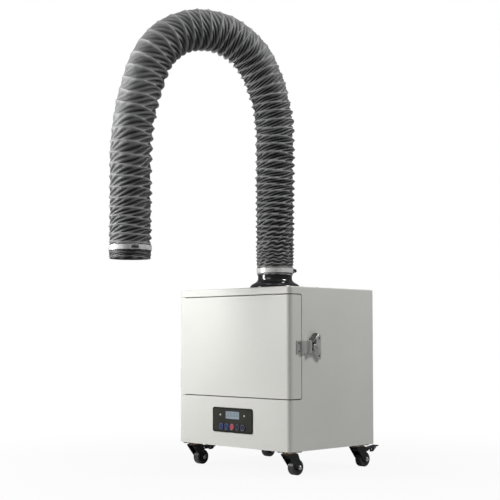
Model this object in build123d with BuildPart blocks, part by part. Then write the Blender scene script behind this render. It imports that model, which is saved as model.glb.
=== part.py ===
"""Solder fume extractor: a sheet-steel filter cabinet on casters with a self-supporting fume duct.

Millimetres, +Z up. The parts are drawn about the middle of the cabinet, and every piece is moved by
(SHIFT_X, SHIFT_Y) when it is written, so that the origin lies on the floor under the middle of the
whole object's box.
"""
import os
from math import cos, radians, sin

from build123d import *

os.makedirs("parts", exist_ok=True)

# ---------------------------------------------------------------- driving dimensions
CAB_W = 336.0  # cabinet width, along X
CAB_D = 265.0  # cabinet depth, along Y
CAB_H = 334.0  # cabinet height
FLOOR_GAP = 50.0  # height of the cabinet's underside
SHEET = 1.5  # sheet-steel thickness
RUNNING = 0.1  # radial clearance of every shaft and pin
CORNER_R = 10.0  # front upright corners
TOP_R = 2.5  # bend along the top edges

STRIP_BELOW = 104.0  # front strip under the door
STRIP_ABOVE = 15.0  # front strip over the door
DOOR_GAP = 2.0
FLANGE_RIGHT = 34.0  # how far the door wraps onto the right side
FLANGE_LEFT = 20.0  # and onto the left side
JAMB_SET = 10.5  # jamb face behind the cabinet front

PANEL_SIZE = (120.0, 52.0)
PANEL_AT = (3.0, 106.0)  # X and Z of the control panel's middle
KEY_PITCH = 16.2
KEY_R = 6.8
KEY_COUNT = 5

NECK_R = 37.5  # 75 mm duct neck
DUCT_R = 44.0  # over the duct's ridges
DUCT_BORE_R = 37.9
CLAMP_H = 43.0  # middle of the base clamp above the cabinet top
ARCH_TURN = 20.0  # the arch's plane, degrees from straight ahead towards the left

WHEEL_R = 16.0
WHEEL_W = 17.0
CASTER_IN = 25.0  # swivel axis in from each face
TRAIL = 18.0
PLATE_T = 2.0

# ---------------------------------------------------------------- derived places
X_SIDE = CAB_W / 2
Y_FRONT = -CAB_D / 2
Y_REAR = CAB_D / 2
Z_BASE = FLOOR_GAP
Z_TOP = FLOOR_GAP + CAB_H
STRIP_TOP = Z_BASE + STRIP_BELOW
LINTEL = Z_TOP - STRIP_ABOVE
DOOR_Z0 = STRIP_TOP + DOOR_GAP
DOOR_Z1 = LINTEL - DOOR_GAP
DOOR_MID = (DOOR_Z0 + DOOR_Z1) / 2
FLANGE_RIGHT_Y = Y_FRONT + FLANGE_RIGHT
FLANGE_LEFT_Y = Y_FRONT + FLANGE_LEFT
JAMB_Y = Y_FRONT + JAMB_SET

# The duct's centreline, from the cabinet top: (length, 0, 0) is a straight run, (0, radius, degrees)
# an arc towards the free end. The free end hangs in front of the cabinet, a little to the left.
DUCT_RUNS = [(337.0, 0, 0), (0, 312.0, 29.5), (0, 142.0, 129.0), (0, 575.0, 21.5), (202.0, 0, 0)]
ARCH_DIR = (-sin(radians(ARCH_TURN)), -cos(radians(ARCH_TURN)))
ARCH_PLANE = Plane(origin=(0, 0, Z_TOP), x_dir=(*ARCH_DIR, 0), z_dir=(ARCH_DIR[1], -ARCH_DIR[0], 0))


def run_length(run):
    """Length of one run of the duct's centreline."""
    straight, radius, turn = run
    return straight + radius * radians(turn)


def duct_at(distance):
    """Reach, height above the cabinet top and heading, in degrees, that far along the duct."""
    reach, height, heading = 0.0, 0.0, 90.0
    for run in DUCT_RUNS:
        straight, radius, turn = run
        part = min(distance, run_length(run))
        if radius:
            after = heading - turn * part / run_length(run)
            reach += radius * (sin(radians(heading)) - sin(radians(after)))
            height += radius * (cos(radians(after)) - cos(radians(heading)))
            heading = after
        else:
            reach += part * cos(radians(heading))
            height += part * sin(radians(heading))
        distance -= part
        if distance <= 1e-9:
            break
    return reach, height, heading


DUCT_LEN = sum(run_length(run) for run in DUCT_RUNS)
CUFF_START = 33.0
LOWER_START = 54.0
LEAN_AT, ARCH_AT, NOZZLE_AT = 152.0, 655.0, 1000.0  # middles of the three bending zones
BEND_HALF = 45.0
NOZZLE_START = DUCT_LEN - DUCT_RUNS[-1][0]
MOUTH_CUFF = 30.0

# The object's box: the latch stands out on the right, the hinge pins on the left, the duct's free
# end in front and a brake pedal behind.
HINGE_X = -X_SIDE - 4.0
HINGE_Y = FLANGE_LEFT_Y + 4.5
KNUCKLE_R = 3.25
HUB_TOP = X_SIDE + 10.5
PEDAL_REACH = 64.0
END_REACH = duct_at(DUCT_LEN)[0]
END_CLAMP_R = 45.0
BOX_X = (HINGE_X - KNUCKLE_R, HUB_TOP)
BOX_Y = (END_REACH * ARCH_DIR[1] - END_CLAMP_R, Y_REAR - CASTER_IN + PEDAL_REACH)
SHIFT_X = -(BOX_X[0] + BOX_X[1]) / 2
SHIFT_Y = -(BOX_Y[0] + BOX_Y[1]) / 2


def save(piece, node):
    """Label a finished piece, move it into the object's frame and write it."""
    placed = Pos(SHIFT_X, SHIFT_Y, 0) * piece.part
    placed.label = node
    export_step(placed, f"parts/{node}.step")


# ---------------------------------------------------------------- cabinet shell
with BuildPart() as cabinet_shell:
    with BuildSketch(Plane.XY.offset(Z_BASE)) as outline:
        Rectangle(CAB_W, CAB_D)
        fillet(outline.vertices().group_by(Axis.Y)[0], CORNER_R)
    extrude(amount=CAB_H)
    fillet(cabinet_shell.faces().sort_by(Axis.Z)[-1].edges(), TOP_R)
    with BuildSketch(Plane.XY.offset(Z_BASE)) as inside:
        with Locations((0, SHEET)):
            Rectangle(CAB_W - 2 * SHEET, CAB_D)
        fillet(inside.vertices().group_by(Axis.Y)[0], CORNER_R - SHEET)
    extrude(amount=CAB_H - SHEET, mode=Mode.SUBTRACT)
    # The door's opening: through the front, and back along each side as far as the door wraps.
    for side, back in ((1, FLANGE_RIGHT_Y), (-1, FLANGE_LEFT_Y)):
        with BuildSketch(Plane.YZ) as opening:
            with BuildLine():
                Polyline(
                    (Y_FRONT - 5, STRIP_TOP), (back + DOOR_GAP, STRIP_TOP),
                    (back + DOOR_GAP, LINTEL), (Y_FRONT - 5, LINTEL), close=True,
                )
            make_face()
            fillet(opening.vertices().group_by(Axis.X)[-1], 5)
        extrude(amount=side * (X_SIDE + 5), mode=Mode.SUBTRACT)
    with BuildSketch(Plane.XZ.offset(-Y_FRONT - 5)):
        with Locations(PANEL_AT):
            Rectangle(PANEL_SIZE[0] - 10, PANEL_SIZE[1] - 8)
    extrude(amount=10, mode=Mode.SUBTRACT)
    with BuildSketch(Plane.XY.offset(Z_TOP - 5)):
        Circle(NECK_R - 2)
    extrude(amount=10, mode=Mode.SUBTRACT)
save(cabinet_shell, "cabinet_shell")

CASTER_SPOTS = {
    "fl": (-X_SIDE + CASTER_IN, Y_FRONT + CASTER_IN),
    "fr": (X_SIDE - CASTER_IN, Y_FRONT + CASTER_IN),
    "rl": (-X_SIDE + CASTER_IN, Y_REAR - CASTER_IN),
    "rr": (X_SIDE - CASTER_IN, Y_REAR - CASTER_IN),
}
PLATE_SIZE = 40.0
PLATE_HOLES = 29.0
SCREW_R = 2.4
CLEAR_R = 2.6

with BuildPart() as base_plate:
    with BuildSketch(Plane.XY.offset(Z_BASE)):
        with Locations((0, SHEET / 2)):
            RectangleRounded(CAB_W - 2 * SHEET - 0.4, CAB_D - 3 * SHEET - 0.6, CORNER_R - SHEET)
        for spot in CASTER_SPOTS.values():
            with Locations(spot):
                with GridLocations(PLATE_HOLES, PLATE_HOLES, 2, 2):
                    Circle(CLEAR_R, mode=Mode.SUBTRACT)
    extrude(amount=SHEET)
save(base_plate, "base_plate")

# ---------------------------------------------------------------- rear panel with louvres
LOUVRE_W, LOUVRE_PITCH, LOUVRE_ROWS = 90.0, 13.0, 7
LOUVRE_Z = 205.0
POWER_AT = (95.0, 84.0)
SWITCH_AT = (95.0, 118.0)
FUSE_AT = (132.0, 84.0)
REAR_HOLES_X, REAR_HOLES_Z = 318.0, 157.0

with BuildPart() as rear_panel:
    with BuildSketch(Plane.XZ.offset(-Y_REAR)):
        with Locations((0, (Z_BASE + Z_TOP - SHEET) / 2)):
            Rectangle(CAB_W - 2 * SHEET - 0.4, CAB_H - SHEET - 0.4)
        with Locations((0, (Z_BASE + Z_TOP) / 2)):
            with GridLocations(REAR_HOLES_X, REAR_HOLES_Z, 2, 3):
                Circle(1.7, mode=Mode.SUBTRACT)
        for column in (-1, 1):
            for row in range(LOUVRE_ROWS):
                with Locations((column * 62, LOUVRE_Z + row * LOUVRE_PITCH)):
                    Rectangle(LOUVRE_W, 5, mode=Mode.SUBTRACT)
        with Locations((-60, 92)):
            with GridLocations(12, 12, 9, 5):
                Rectangle(8, 8, mode=Mode.SUBTRACT)
        with Locations(POWER_AT):
            Rectangle(28.4, 20.4, mode=Mode.SUBTRACT)
        with Locations(SWITCH_AT):
            Rectangle(28.4, 12.4, mode=Mode.SUBTRACT)
        with Locations(FUSE_AT):
            Circle(6.2, mode=Mode.SUBTRACT)
    extrude(amount=SHEET)
    # A sloping hood over each slot sheds dust.
    for column in (-1, 1):
        for row in range(LOUVRE_ROWS):
            foot = LOUVRE_Z + row * LOUVRE_PITCH - 1.5
            with BuildSketch(Plane.YZ.offset(column * 62 - LOUVRE_W / 2)):
                with BuildLine():
                    Polyline(
                        (Y_REAR - 0.2, foot + 7), (Y_REAR + 3.8, foot), (Y_REAR + 2.6, foot),
                        (Y_REAR - 0.2, foot + 5), close=True,
                    )
                make_face()
            extrude(amount=LOUVRE_W)
save(rear_panel, "rear_panel")

# ---------------------------------------------------------------- divider, jamb and filter chamber
INLET_R = 46.0
DIVIDER_Z = STRIP_TOP - 5.0

with BuildPart() as divider_plate:
    with BuildSketch(Plane.XY.offset(DIVIDER_Z)):
        with Locations((0, 4)):
            Rectangle(CAB_W - 2 * SHEET - 0.4, CAB_D - 12)
        Circle(INLET_R, mode=Mode.SUBTRACT)
    extrude(amount=SHEET)
save(divider_plate, "divider_plate")

JAMB_X = X_SIDE - SHEET - 3.2
JAMB_Z0, JAMB_Z1 = DOOR_Z0 + SHEET + 3.0, DOOR_Z1 - SHEET - 3.0
OPEN_X = 150.0
OPEN_Z0, OPEN_Z1 = DOOR_Z0 + 16, DOOR_Z1 - 16
JAMB_BACK = FLANGE_RIGHT_Y + 8.0

with BuildPart() as door_jamb:
    with BuildSketch(Plane.XZ.offset(-JAMB_Y)):
        with Locations((0, DOOR_MID)):
            Rectangle(2 * JAMB_X, JAMB_Z1 - JAMB_Z0)
            Rectangle(2 * OPEN_X, OPEN_Z1 - OPEN_Z0, mode=Mode.SUBTRACT)
    extrude(amount=-(JAMB_BACK - JAMB_Y))
    with BuildSketch(Plane.XZ.offset(-JAMB_Y - SHEET)):
        with Locations((0, DOOR_MID)):
            Rectangle(2 * (JAMB_X - SHEET), JAMB_Z1 - JAMB_Z0 - 2 * SHEET)
    extrude(amount=-(JAMB_BACK - JAMB_Y), mode=Mode.SUBTRACT)
    # The rim turns out at the back to meet the cabinet's walls.
    with BuildSketch(Plane.XZ.offset(-JAMB_BACK)):
        with Locations((0, DOOR_MID)):
            Rectangle(2 * (X_SIDE - SHEET) - 0.2, LINTEL - STRIP_TOP + 6)
            Rectangle(2 * (JAMB_X - SHEET), JAMB_Z1 - JAMB_Z0 - 2 * SHEET, mode=Mode.SUBTRACT)
    extrude(amount=-SHEET)
save(door_jamb, "door_jamb")

CHAMBER_X = OPEN_X + 4.0
CHAMBER_BACK = Y_REAR - 16.0
CHAMBER_Z0, CHAMBER_Z1 = DOOR_Z0 + 8.0, DOOR_Z1 - 6.0
LINER = 1.2

# The filters, from the blower up to the duct: name and height.
FILTERS = [("carbon_filter", 50.0), ("hepa_filter", 64.0), ("medium_filter", 26.0), ("pre_filter", 14.0)]
FILTER_X = CHAMBER_X - LINER - 1.5
FILTER_Y0, FILTER_Y1 = JAMB_Y + 9.0, CHAMBER_BACK - LINER - 3.0
FILTER_MID = (FILTER_Y0 + FILTER_Y1) / 2
RAIL_T, RAIL_W = 2.0, 9.0
FILTER_GAP = 1.0
FRAME_W, MEDIA_DEEP = 10.0, 3.0
FILTER_SEATS = {}
level = CHAMBER_Z0 + LINER + 6.0
for filter_name, filter_h in FILTERS:
    FILTER_SEATS[filter_name] = level + RAIL_T
    level += RAIL_T + filter_h + FILTER_GAP

with BuildPart() as filter_chamber:
    with BuildSketch(Plane.XZ.offset(-JAMB_Y - SHEET)):
        with Locations((0, (CHAMBER_Z0 + CHAMBER_Z1) / 2)):
            Rectangle(2 * CHAMBER_X, CHAMBER_Z1 - CHAMBER_Z0)
    extrude(amount=-(CHAMBER_BACK - JAMB_Y - SHEET))
    with BuildSketch(Plane.XZ.offset(-JAMB_Y - SHEET)):
        with Locations((0, (CHAMBER_Z0 + CHAMBER_Z1) / 2)):
            Rectangle(2 * (CHAMBER_X - LINER), CHAMBER_Z1 - CHAMBER_Z0 - 2 * LINER)
    extrude(amount=-(CHAMBER_BACK - JAMB_Y - SHEET - LINER), mode=Mode.SUBTRACT)
    with BuildSketch(Plane.XY.offset(CHAMBER_Z1 - 5)):
        Circle(NECK_R + 4)
    extrude(amount=10, mode=Mode.SUBTRACT)
    with BuildSketch(Plane.XY.offset(CHAMBER_Z0 - 5)):
        Circle(INLET_R)
    extrude(amount=10, mode=Mode.SUBTRACT)
    for seat in FILTER_SEATS.values():
        with BuildSketch(Plane.XY.offset(seat - RAIL_T)):
            for side in (-1, 1):
                with Locations((side * (CHAMBER_X - LINER - RAIL_W / 2), FILTER_MID)):
                    Rectangle(RAIL_W, FILTER_Y1 - FILTER_Y0)
        extrude(amount=RAIL_T)
save(filter_chamber, "filter_chamber")

for filter_name, filter_h in FILTERS:
    seat = FILTER_SEATS[filter_name]
    with BuildPart() as filter_block:
        with BuildSketch(Plane.XY.offset(seat)):
            with Locations((0, FILTER_MID)):
                Rectangle(2 * FILTER_X, FILTER_Y1 - FILTER_Y0)
        extrude(amount=filter_h)
        # The media sit a little below the frame's rims, above and below.
        for rim in (seat, seat + filter_h - MEDIA_DEEP):
            with BuildSketch(Plane.XY.offset(rim)):
                with Locations((0, FILTER_MID)):
                    Rectangle(2 * (FILTER_X - FRAME_W), FILTER_Y1 - FILTER_Y0 - 2 * FRAME_W)
            extrude(amount=MEDIA_DEEP, mode=Mode.SUBTRACT)
    save(filter_block, filter_name)

# ---------------------------------------------------------------- door
LINER_PAN_X, LINER_PAN_DEEP = OPEN_X - 6.0, 3.6
GASKET_W = 7.0
GASKET_CLEAR = 0.5

with BuildPart() as door_skin:
    with BuildSketch(Plane.XY.offset(DOOR_Z0)) as outline:
        with Locations((0, (Y_FRONT + FLANGE_RIGHT_Y) / 2)):
            Rectangle(CAB_W, FLANGE_RIGHT)
        fillet(outline.vertices().group_by(Axis.Y)[0], CORNER_R)
    extrude(amount=DOOR_Z1 - DOOR_Z0)
    with BuildSketch(Plane.XY.offset(DOOR_Z0 + SHEET)) as inside:
        with Locations((0, (Y_FRONT + FLANGE_RIGHT_Y) / 2 + SHEET)):
            Rectangle(CAB_W - 2 * SHEET, FLANGE_RIGHT)
        fillet(inside.vertices().group_by(Axis.Y)[0], CORNER_R - SHEET)
    extrude(amount=DOOR_Z1 - DOOR_Z0 - 2 * SHEET, mode=Mode.SUBTRACT)
    # The top and bottom edges turn in by less than the sides do.
    with BuildSketch(Plane.XY.offset(DOOR_Z0 - 1)):
        with Locations((0, Y_FRONT + 13 + FLANGE_RIGHT / 2)):
            Rectangle(CAB_W - 2 * SHEET, FLANGE_RIGHT)
    extrude(amount=DOOR_Z1 - DOOR_Z0 + 2, mode=Mode.SUBTRACT)
    # Rounded back corners on both wraps; the left one is shorter.
    for side, back in ((1, FLANGE_RIGHT_Y), (-1, FLANGE_LEFT_Y)):
        with BuildSketch(Plane.YZ) as wrap_end:
            with Locations((back, DOOR_MID)):
                Rectangle(80, DOOR_Z1 - DOOR_Z0 + 10)
            with Locations((back - 20, DOOR_MID)):
                RectangleRounded(40, DOOR_Z1 - DOOR_Z0, 3.5, mode=Mode.SUBTRACT)
            with Locations((back - 35, DOOR_MID)):
                Rectangle(60, DOOR_Z1 - DOOR_Z0 + 10, mode=Mode.SUBTRACT)
        extrude(amount=side * (X_SIDE + 5), mode=Mode.SUBTRACT)
save(door_skin, "door_skin")

with BuildPart() as door_pan:
    with BuildSketch(Plane.XZ.offset(-Y_FRONT - SHEET)):
        with Locations((0, DOOR_MID)):
            RectangleRounded(2 * LINER_PAN_X, OPEN_Z1 - OPEN_Z0 - 12, 6)
    extrude(amount=-LINER_PAN_DEEP)
    with BuildSketch(Plane.XZ.offset(-Y_FRONT - SHEET)):
        with Locations((0, DOOR_MID)):
            RectangleRounded(2 * (LINER_PAN_X - 1), OPEN_Z1 - OPEN_Z0 - 14, 5)
    extrude(amount=-(LINER_PAN_DEEP - 1), mode=Mode.SUBTRACT)
    fillet(door_pan.faces().sort_by(Axis.Y)[-1].outer_wire().edges(), 0.6)
save(door_pan, "door_pan")

with BuildPart() as door_gasket:
    with BuildSketch(Plane.XZ.offset(-JAMB_Y)):
        with Locations((0, DOOR_MID)):
            RectangleRounded(2 * (OPEN_X + GASKET_W + 1), OPEN_Z1 - OPEN_Z0 + 2 * (GASKET_W + 1), 8)
            RectangleRounded(2 * (OPEN_X + 1), OPEN_Z1 - OPEN_Z0 + 2, 4, mode=Mode.SUBTRACT)
    extrude(amount=JAMB_SET - SHEET - GASKET_CLEAR)
save(door_gasket, "door_gasket")

# Butt hinges on the left: a leaf on the cabinet with two outer knuckles, a leaf on the door with one.
HINGE_SPOTS = (DOOR_Z0 + 36, DOOR_Z1 - 36)
HINGE_H = 42.0
LEAF_T = 1.5
PIN_R = 1.5
KNUCKLE_GAP = 0.4
THIRD = HINGE_H / 3
LEAF_X = -X_SIDE - LEAF_T

with BuildPart() as hinge_cabinet:
    for mid in HINGE_SPOTS:
        with BuildSketch(Plane.XY.offset(mid - HINGE_H / 2)):
            with Locations((LEAF_X + LEAF_T / 2, HINGE_Y + 17)):
                Rectangle(LEAF_T, 24)
        extrude(amount=HINGE_H)
        for foot in (mid - HINGE_H / 2, mid + HINGE_H / 2 - THIRD + KNUCKLE_GAP):
            with BuildSketch(Plane.XY.offset(foot)):
                with Locations((HINGE_X, HINGE_Y)):
                    Circle(KNUCKLE_R)
                with Locations((LEAF_X + LEAF_T / 2, HINGE_Y + 4)):
                    Rectangle(LEAF_T, 8)
                with Locations((HINGE_X, HINGE_Y)):
                    Circle(PIN_R, mode=Mode.SUBTRACT)
            extrude(amount=THIRD - KNUCKLE_GAP)
save(hinge_cabinet, "hinge_cabinet")

with BuildPart() as hinge_door:
    for mid in HINGE_SPOTS:
        with BuildSketch(Plane.XY.offset(mid - HINGE_H / 2)):
            with Locations((LEAF_X + LEAF_T / 2, HINGE_Y - 4.6 - 7)):
                Rectangle(LEAF_T, 14)
        extrude(amount=HINGE_H)
        with BuildSketch(Plane.XY.offset(mid - THIRD / 2)):
            with Locations((HINGE_X, HINGE_Y)):
                Circle(KNUCKLE_R)
            with Locations((LEAF_X + LEAF_T / 2, HINGE_Y - 4)):
                Rectangle(LEAF_T, 8)
            with Locations((HINGE_X, HINGE_Y)):
                Circle(PIN_R + RUNNING, mode=Mode.SUBTRACT)
        extrude(amount=THIRD)
save(hinge_door, "hinge_door")

with BuildPart() as hinge_pins:
    for mid in HINGE_SPOTS:
        with BuildSketch(Plane.XY.offset(mid - HINGE_H / 2)):
            with Locations((HINGE_X, HINGE_Y)):
                Circle(PIN_R)
        extrude(amount=HINGE_H)
save(hinge_pins, "hinge_pins")

# ---------------------------------------------------------------- latch on the right side
LATCH_Z = DOOR_MID - 1.0
HUB_Y = Y_FRONT + 68.0
PLATE_BACK_Y = Y_FRONT + 84.0
LATCH_RISE = 4.5
CLAW_Y = Y_FRONT + 54.5
CLAW_X = X_SIDE + 5.2
CLAW_H = 24.0
LATCH_PIN_R = 2.4
KEEPER_Y0, KEEPER_Y1 = Y_FRONT + 19.0, Y_FRONT + 33.0
KEEPER_H = 26.0
LIP_Y = Y_FRONT + 36.5
CLAW_TIP_Y = LIP_Y + 0.9

with BuildPart() as latch_base:
    with BuildSketch(Plane.YZ.offset(X_SIDE)):
        with BuildSketch(mode=Mode.PRIVATE) as ends:
            with Locations((HUB_Y, LATCH_Z)):
                Circle(8.5)
            with Locations((PLATE_BACK_Y, LATCH_Z + 19.5), (PLATE_BACK_Y, LATCH_Z - 19.5)):
                Circle(6.6)
        make_hull(ends.sketch.edges())
        with Locations((PLATE_BACK_Y, LATCH_Z + 18), (PLATE_BACK_Y, LATCH_Z - 18)):
            Circle(2.2, mode=Mode.SUBTRACT)
    extrude(amount=LATCH_RISE)
    fillet(latch_base.faces().sort_by(Axis.X)[-1].outer_wire().edges(), 1.2)
save(latch_base, "latch_base")

with BuildPart() as latch_hub:
    with BuildSketch(Plane.YZ.offset(X_SIDE + LATCH_RISE + 0.3)):
        with Locations((HUB_Y, LATCH_Z)):
            Circle(6.2)
    extrude(amount=HUB_TOP - X_SIDE - LATCH_RISE - 0.3)
    fillet(latch_hub.faces().sort_by(Axis.X)[-1].edges(), 0.8)
    with BuildSketch(Plane.YZ.offset(HUB_TOP - 1.4)):
        with Locations(Location((HUB_Y, LATCH_Z, 0), (0, 0, -35))):
            Rectangle(9, 1.6)
    extrude(amount=2, mode=Mode.SUBTRACT)
save(latch_hub, "latch_hub")

WING_X = X_SIDE + LATCH_RISE + 0.9
WING_T = 2.0
WING_MID = (HUB_Y + 1.0, LATCH_Z + 18.0)
with BuildPart() as latch_wing:
    with BuildSketch(Plane.YZ.offset(WING_X)):
        with Locations(Location((*WING_MID, 0), (0, 0, 45))):
            with BuildSketch(mode=Mode.PRIVATE) as half:
                Circle(11)
                with Locations((0, -11)):
                    Rectangle(24, 22, mode=Mode.SUBTRACT)
            add(half.sketch)
        with Locations((HUB_Y + 0.5, LATCH_Z + 11.0)):
            Rectangle(7, 12)
        with Locations((HUB_Y - 5.5, LATCH_Z + 21.5), (HUB_Y + 0.5, LATCH_Z + 24.6)):
            Circle(1.5, mode=Mode.SUBTRACT)
        with Locations((HUB_Y, LATCH_Z)):
            Circle(6.2, mode=Mode.SUBTRACT)
    extrude(amount=WING_T)
save(latch_wing, "latch_wing")

with BuildPart() as latch_claw:
    # A strip whose back end is rolled into an open eye about an upright pin.
    with BuildSketch(Plane.XY.offset(LATCH_Z - CLAW_H / 2)):
        with Locations((CLAW_X, CLAW_Y)):
            Circle(4.3)
            Circle(LATCH_PIN_R + RUNNING, mode=Mode.SUBTRACT)
        with Locations((CLAW_X - 2.3, (CLAW_TIP_Y + CLAW_Y - 2.6) / 2)):
            Rectangle(1.6, CLAW_Y - 2.6 - CLAW_TIP_Y)
    extrude(amount=CLAW_H)
save(latch_claw, "latch_claw")

with BuildPart() as latch_pin:
    with BuildSketch(Plane.XY.offset(LATCH_Z - CLAW_H / 2 - 1)):
        with Locations((CLAW_X, CLAW_Y)):
            Circle(LATCH_PIN_R)
    extrude(amount=CLAW_H + 2)
    for end in (LATCH_Z - CLAW_H / 2 - 2.4, LATCH_Z + CLAW_H / 2 + 0.6):
        with BuildSketch(Plane.XY.offset(end)):
            with Locations(((X_SIDE + CLAW_X + 2.3) / 2, CLAW_Y)):
                Rectangle(CLAW_X + 2.3 - X_SIDE, 4.6)
        extrude(amount=1.8)
save(latch_pin, "latch_pin")

with BuildPart() as latch_keeper:
    with BuildSketch(Plane.XY.offset(LATCH_Z - KEEPER_H / 2)):
        with BuildLine():
            Polyline(
                (X_SIDE, KEEPER_Y0), (X_SIDE + 1.6, KEEPER_Y0), (X_SIDE + 1.6, KEEPER_Y1 - 1.6),
                (X_SIDE + 4.4, KEEPER_Y1 - 1.6), (X_SIDE + 4.4, LIP_Y), (X_SIDE + 2.9, LIP_Y),
                (X_SIDE + 2.9, KEEPER_Y1), (X_SIDE, KEEPER_Y1), close=True,
            )
        make_face()
    extrude(amount=KEEPER_H)
    with BuildSketch(Plane.YZ.offset(X_SIDE)):
        with Locations(((KEEPER_Y0 + KEEPER_Y1) / 2, LATCH_Z)):
            with GridLocations(1, 17, 1, 2):
                Circle(1.8)
    extrude(amount=3, mode=Mode.SUBTRACT)
save(latch_keeper, "latch_keeper")

# ---------------------------------------------------------------- control panel
PANEL_T = 1.5
PANEL_X, PANEL_Z = PANEL_AT
KEY_Z = PANEL_Z - 14.0
DISPLAY_AT = (PANEL_X, PANEL_Z + 10.4)
DISPLAY_SIZE = (41.0, 16.0)
LAMP_SPOTS = [(PANEL_X - 36, PANEL_Z + 10.4), (PANEL_X + 36, PANEL_Z + 10.4)]
KEY_SPOTS = [(PANEL_X + (i - (KEY_COUNT - 1) / 2) * KEY_PITCH, KEY_Z) for i in range(KEY_COUNT)]
KEY_TRAVEL = 0.8
KEY_PROUD = 1.4
FLANGE_T = 1.2

with BuildPart() as control_panel:
    with BuildSketch(Plane.XZ.offset(-Y_FRONT)):
        with Locations(PANEL_AT):
            RectangleRounded(*PANEL_SIZE, 5)
        with Locations(DISPLAY_AT):
            RectangleRounded(DISPLAY_SIZE[0] + 0.2, DISPLAY_SIZE[1] + 0.2, 0.6, mode=Mode.SUBTRACT)
        with Locations(*KEY_SPOTS):
            Circle(KEY_R + 0.35, mode=Mode.SUBTRACT)
        with Locations(*LAMP_SPOTS):
            Circle(2.1, mode=Mode.SUBTRACT)
    extrude(amount=PANEL_T)
save(control_panel, "control_panel")

with BuildPart() as display_window:
    with BuildSketch(Plane.XZ.offset(-Y_FRONT + 0.2)):
        with Locations(DISPLAY_AT):
            RectangleRounded(*DISPLAY_SIZE, 0.5)
    extrude(amount=PANEL_T - 0.5)
save(display_window, "display_window")

with BuildPart() as indicator_lamps:
    with BuildSketch(Plane.XZ.offset(-Y_FRONT)):
        with Locations(*LAMP_SPOTS):
            Circle(2.0)
    extrude(amount=PANEL_T + 0.6)
    fillet(indicator_lamps.faces().group_by(Axis.Y)[0].edges(), 0.5)
save(indicator_lamps, "indicator_lamps")

for index, spot in enumerate(KEY_SPOTS, start=1):
    with BuildPart() as key:
        with BuildSketch(Plane.XZ.offset(-Y_FRONT + PANEL_T + KEY_PROUD)):
            with Locations(spot):
                Circle(KEY_R)
        extrude(amount=-(PANEL_T + KEY_PROUD + 0.4))
        fillet(key.faces().sort_by(Axis.Y)[0].edges(), 0.6)
        with BuildSketch(Plane.XZ.offset(-Y_FRONT - 0.3)):
            with Locations(spot):
                Circle(KEY_R + 0.9)
        extrude(amount=-FLANGE_T)
    save(key, f"key_{index}")

BOARD_Y = Y_FRONT + 9.0
with BuildPart() as control_board:
    with BuildSketch(Plane.XZ.offset(-BOARD_Y)):
        with Locations(PANEL_AT):
            Rectangle(PANEL_SIZE[0] - 14, PANEL_SIZE[1] - 12)
    extrude(amount=-1.6)
    with BuildSketch(Plane.XZ.offset(-BOARD_Y)):
        with Locations(DISPLAY_AT):
            Rectangle(DISPLAY_SIZE[0] - 1, DISPLAY_SIZE[1] - 1)
    extrude(amount=BOARD_Y - Y_FRONT)
    with BuildSketch(Plane.XZ.offset(-BOARD_Y)):
        with Locations(*KEY_SPOTS):
            Circle(1.8)
    extrude(amount=BOARD_Y - Y_FRONT - 0.3 - FLANGE_T - KEY_TRAVEL - 0.2)
save(control_board, "control_board")

# ---------------------------------------------------------------- duct inlet
FLANGE_R, FLANGE_BASE = 70.0, 3.0
FLANGE_PCD_R = 62.0
FLARE_R = 54.0
NECK_Z = Z_TOP + 27.0
NECK_TOP = Z_TOP + 50.0
NECK_WALL = 3.0

with BuildPart() as inlet_flange:
    with BuildSketch(Plane.XZ):
        with BuildLine():
            Line((NECK_R - NECK_WALL, Z_TOP), (FLANGE_R, Z_TOP))
            Line((FLANGE_R, Z_TOP), (FLANGE_R, Z_TOP + FLANGE_BASE))
            Line((FLANGE_R, Z_TOP + FLANGE_BASE), (FLARE_R + 3, Z_TOP + FLANGE_BASE))
            Spline(
                (FLARE_R + 3, Z_TOP + FLANGE_BASE), (FLARE_R - 2.5, Z_TOP + 12), (NECK_R, NECK_Z),
                tangents=[(-0.3, 1), (0, 1)],
            )
            Line((NECK_R, NECK_Z), (NECK_R, NECK_TOP))
            Line((NECK_R, NECK_TOP), (NECK_R - NECK_WALL, NECK_TOP))
            Line((NECK_R - NECK_WALL, NECK_TOP), (NECK_R - NECK_WALL, Z_TOP))
        make_face()
    revolve(axis=Axis.Z)
    with BuildSketch(Plane.XY.offset(Z_TOP)):
        with PolarLocations(FLANGE_PCD_R, 6, start_angle=15):
            Circle(1.9)
    extrude(amount=10, mode=Mode.SUBTRACT)
save(inlet_flange, "inlet_flange")

BAND_W, BAND_T = 10.0, 0.8
WORM_LEN, WORM_R = 15.0, 3.6


def hose_clamp(node, centre, inner_r, facing):
    """A worm-drive band about an upright axis, with its screw housing towards facing degrees."""
    x, y, z = centre
    out = Vector(cos(radians(facing)), sin(radians(facing)), 0)
    across = Vector(-sin(radians(facing)), cos(radians(facing)), 0)
    seat = Vector(x, y, z) + out * (inner_r + BAND_T)
    saddle = Plane(origin=seat - out * 0.3, x_dir=across, z_dir=out)
    worm = Plane(origin=seat + out * (WORM_R - 0.6) - across * WORM_LEN / 2, x_dir=out, z_dir=across)
    with BuildPart() as clamp:
        with BuildSketch(Plane.XY.offset(z - BAND_W / 2)):
            with Locations((x, y)):
                Circle(inner_r + BAND_T)
                Circle(inner_r, mode=Mode.SUBTRACT)
        extrude(amount=BAND_W)
        with BuildSketch(saddle):
            Rectangle(WORM_LEN - 3, BAND_W + 1)
        extrude(amount=2.4)
        with BuildSketch(worm):
            Circle(WORM_R)
        extrude(amount=WORM_LEN)
        with BuildSketch(worm.offset(WORM_LEN)):
            RegularPolygon(WORM_R + 0.4, 6)
        extrude(amount=3)
    save(clamp, node)


def duct_place(distance):
    """Middle of the duct, in space, that far along it."""
    reach, height, _ = duct_at(distance)
    return (reach * ARCH_DIR[0], reach * ARCH_DIR[1], Z_TOP + height)


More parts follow.
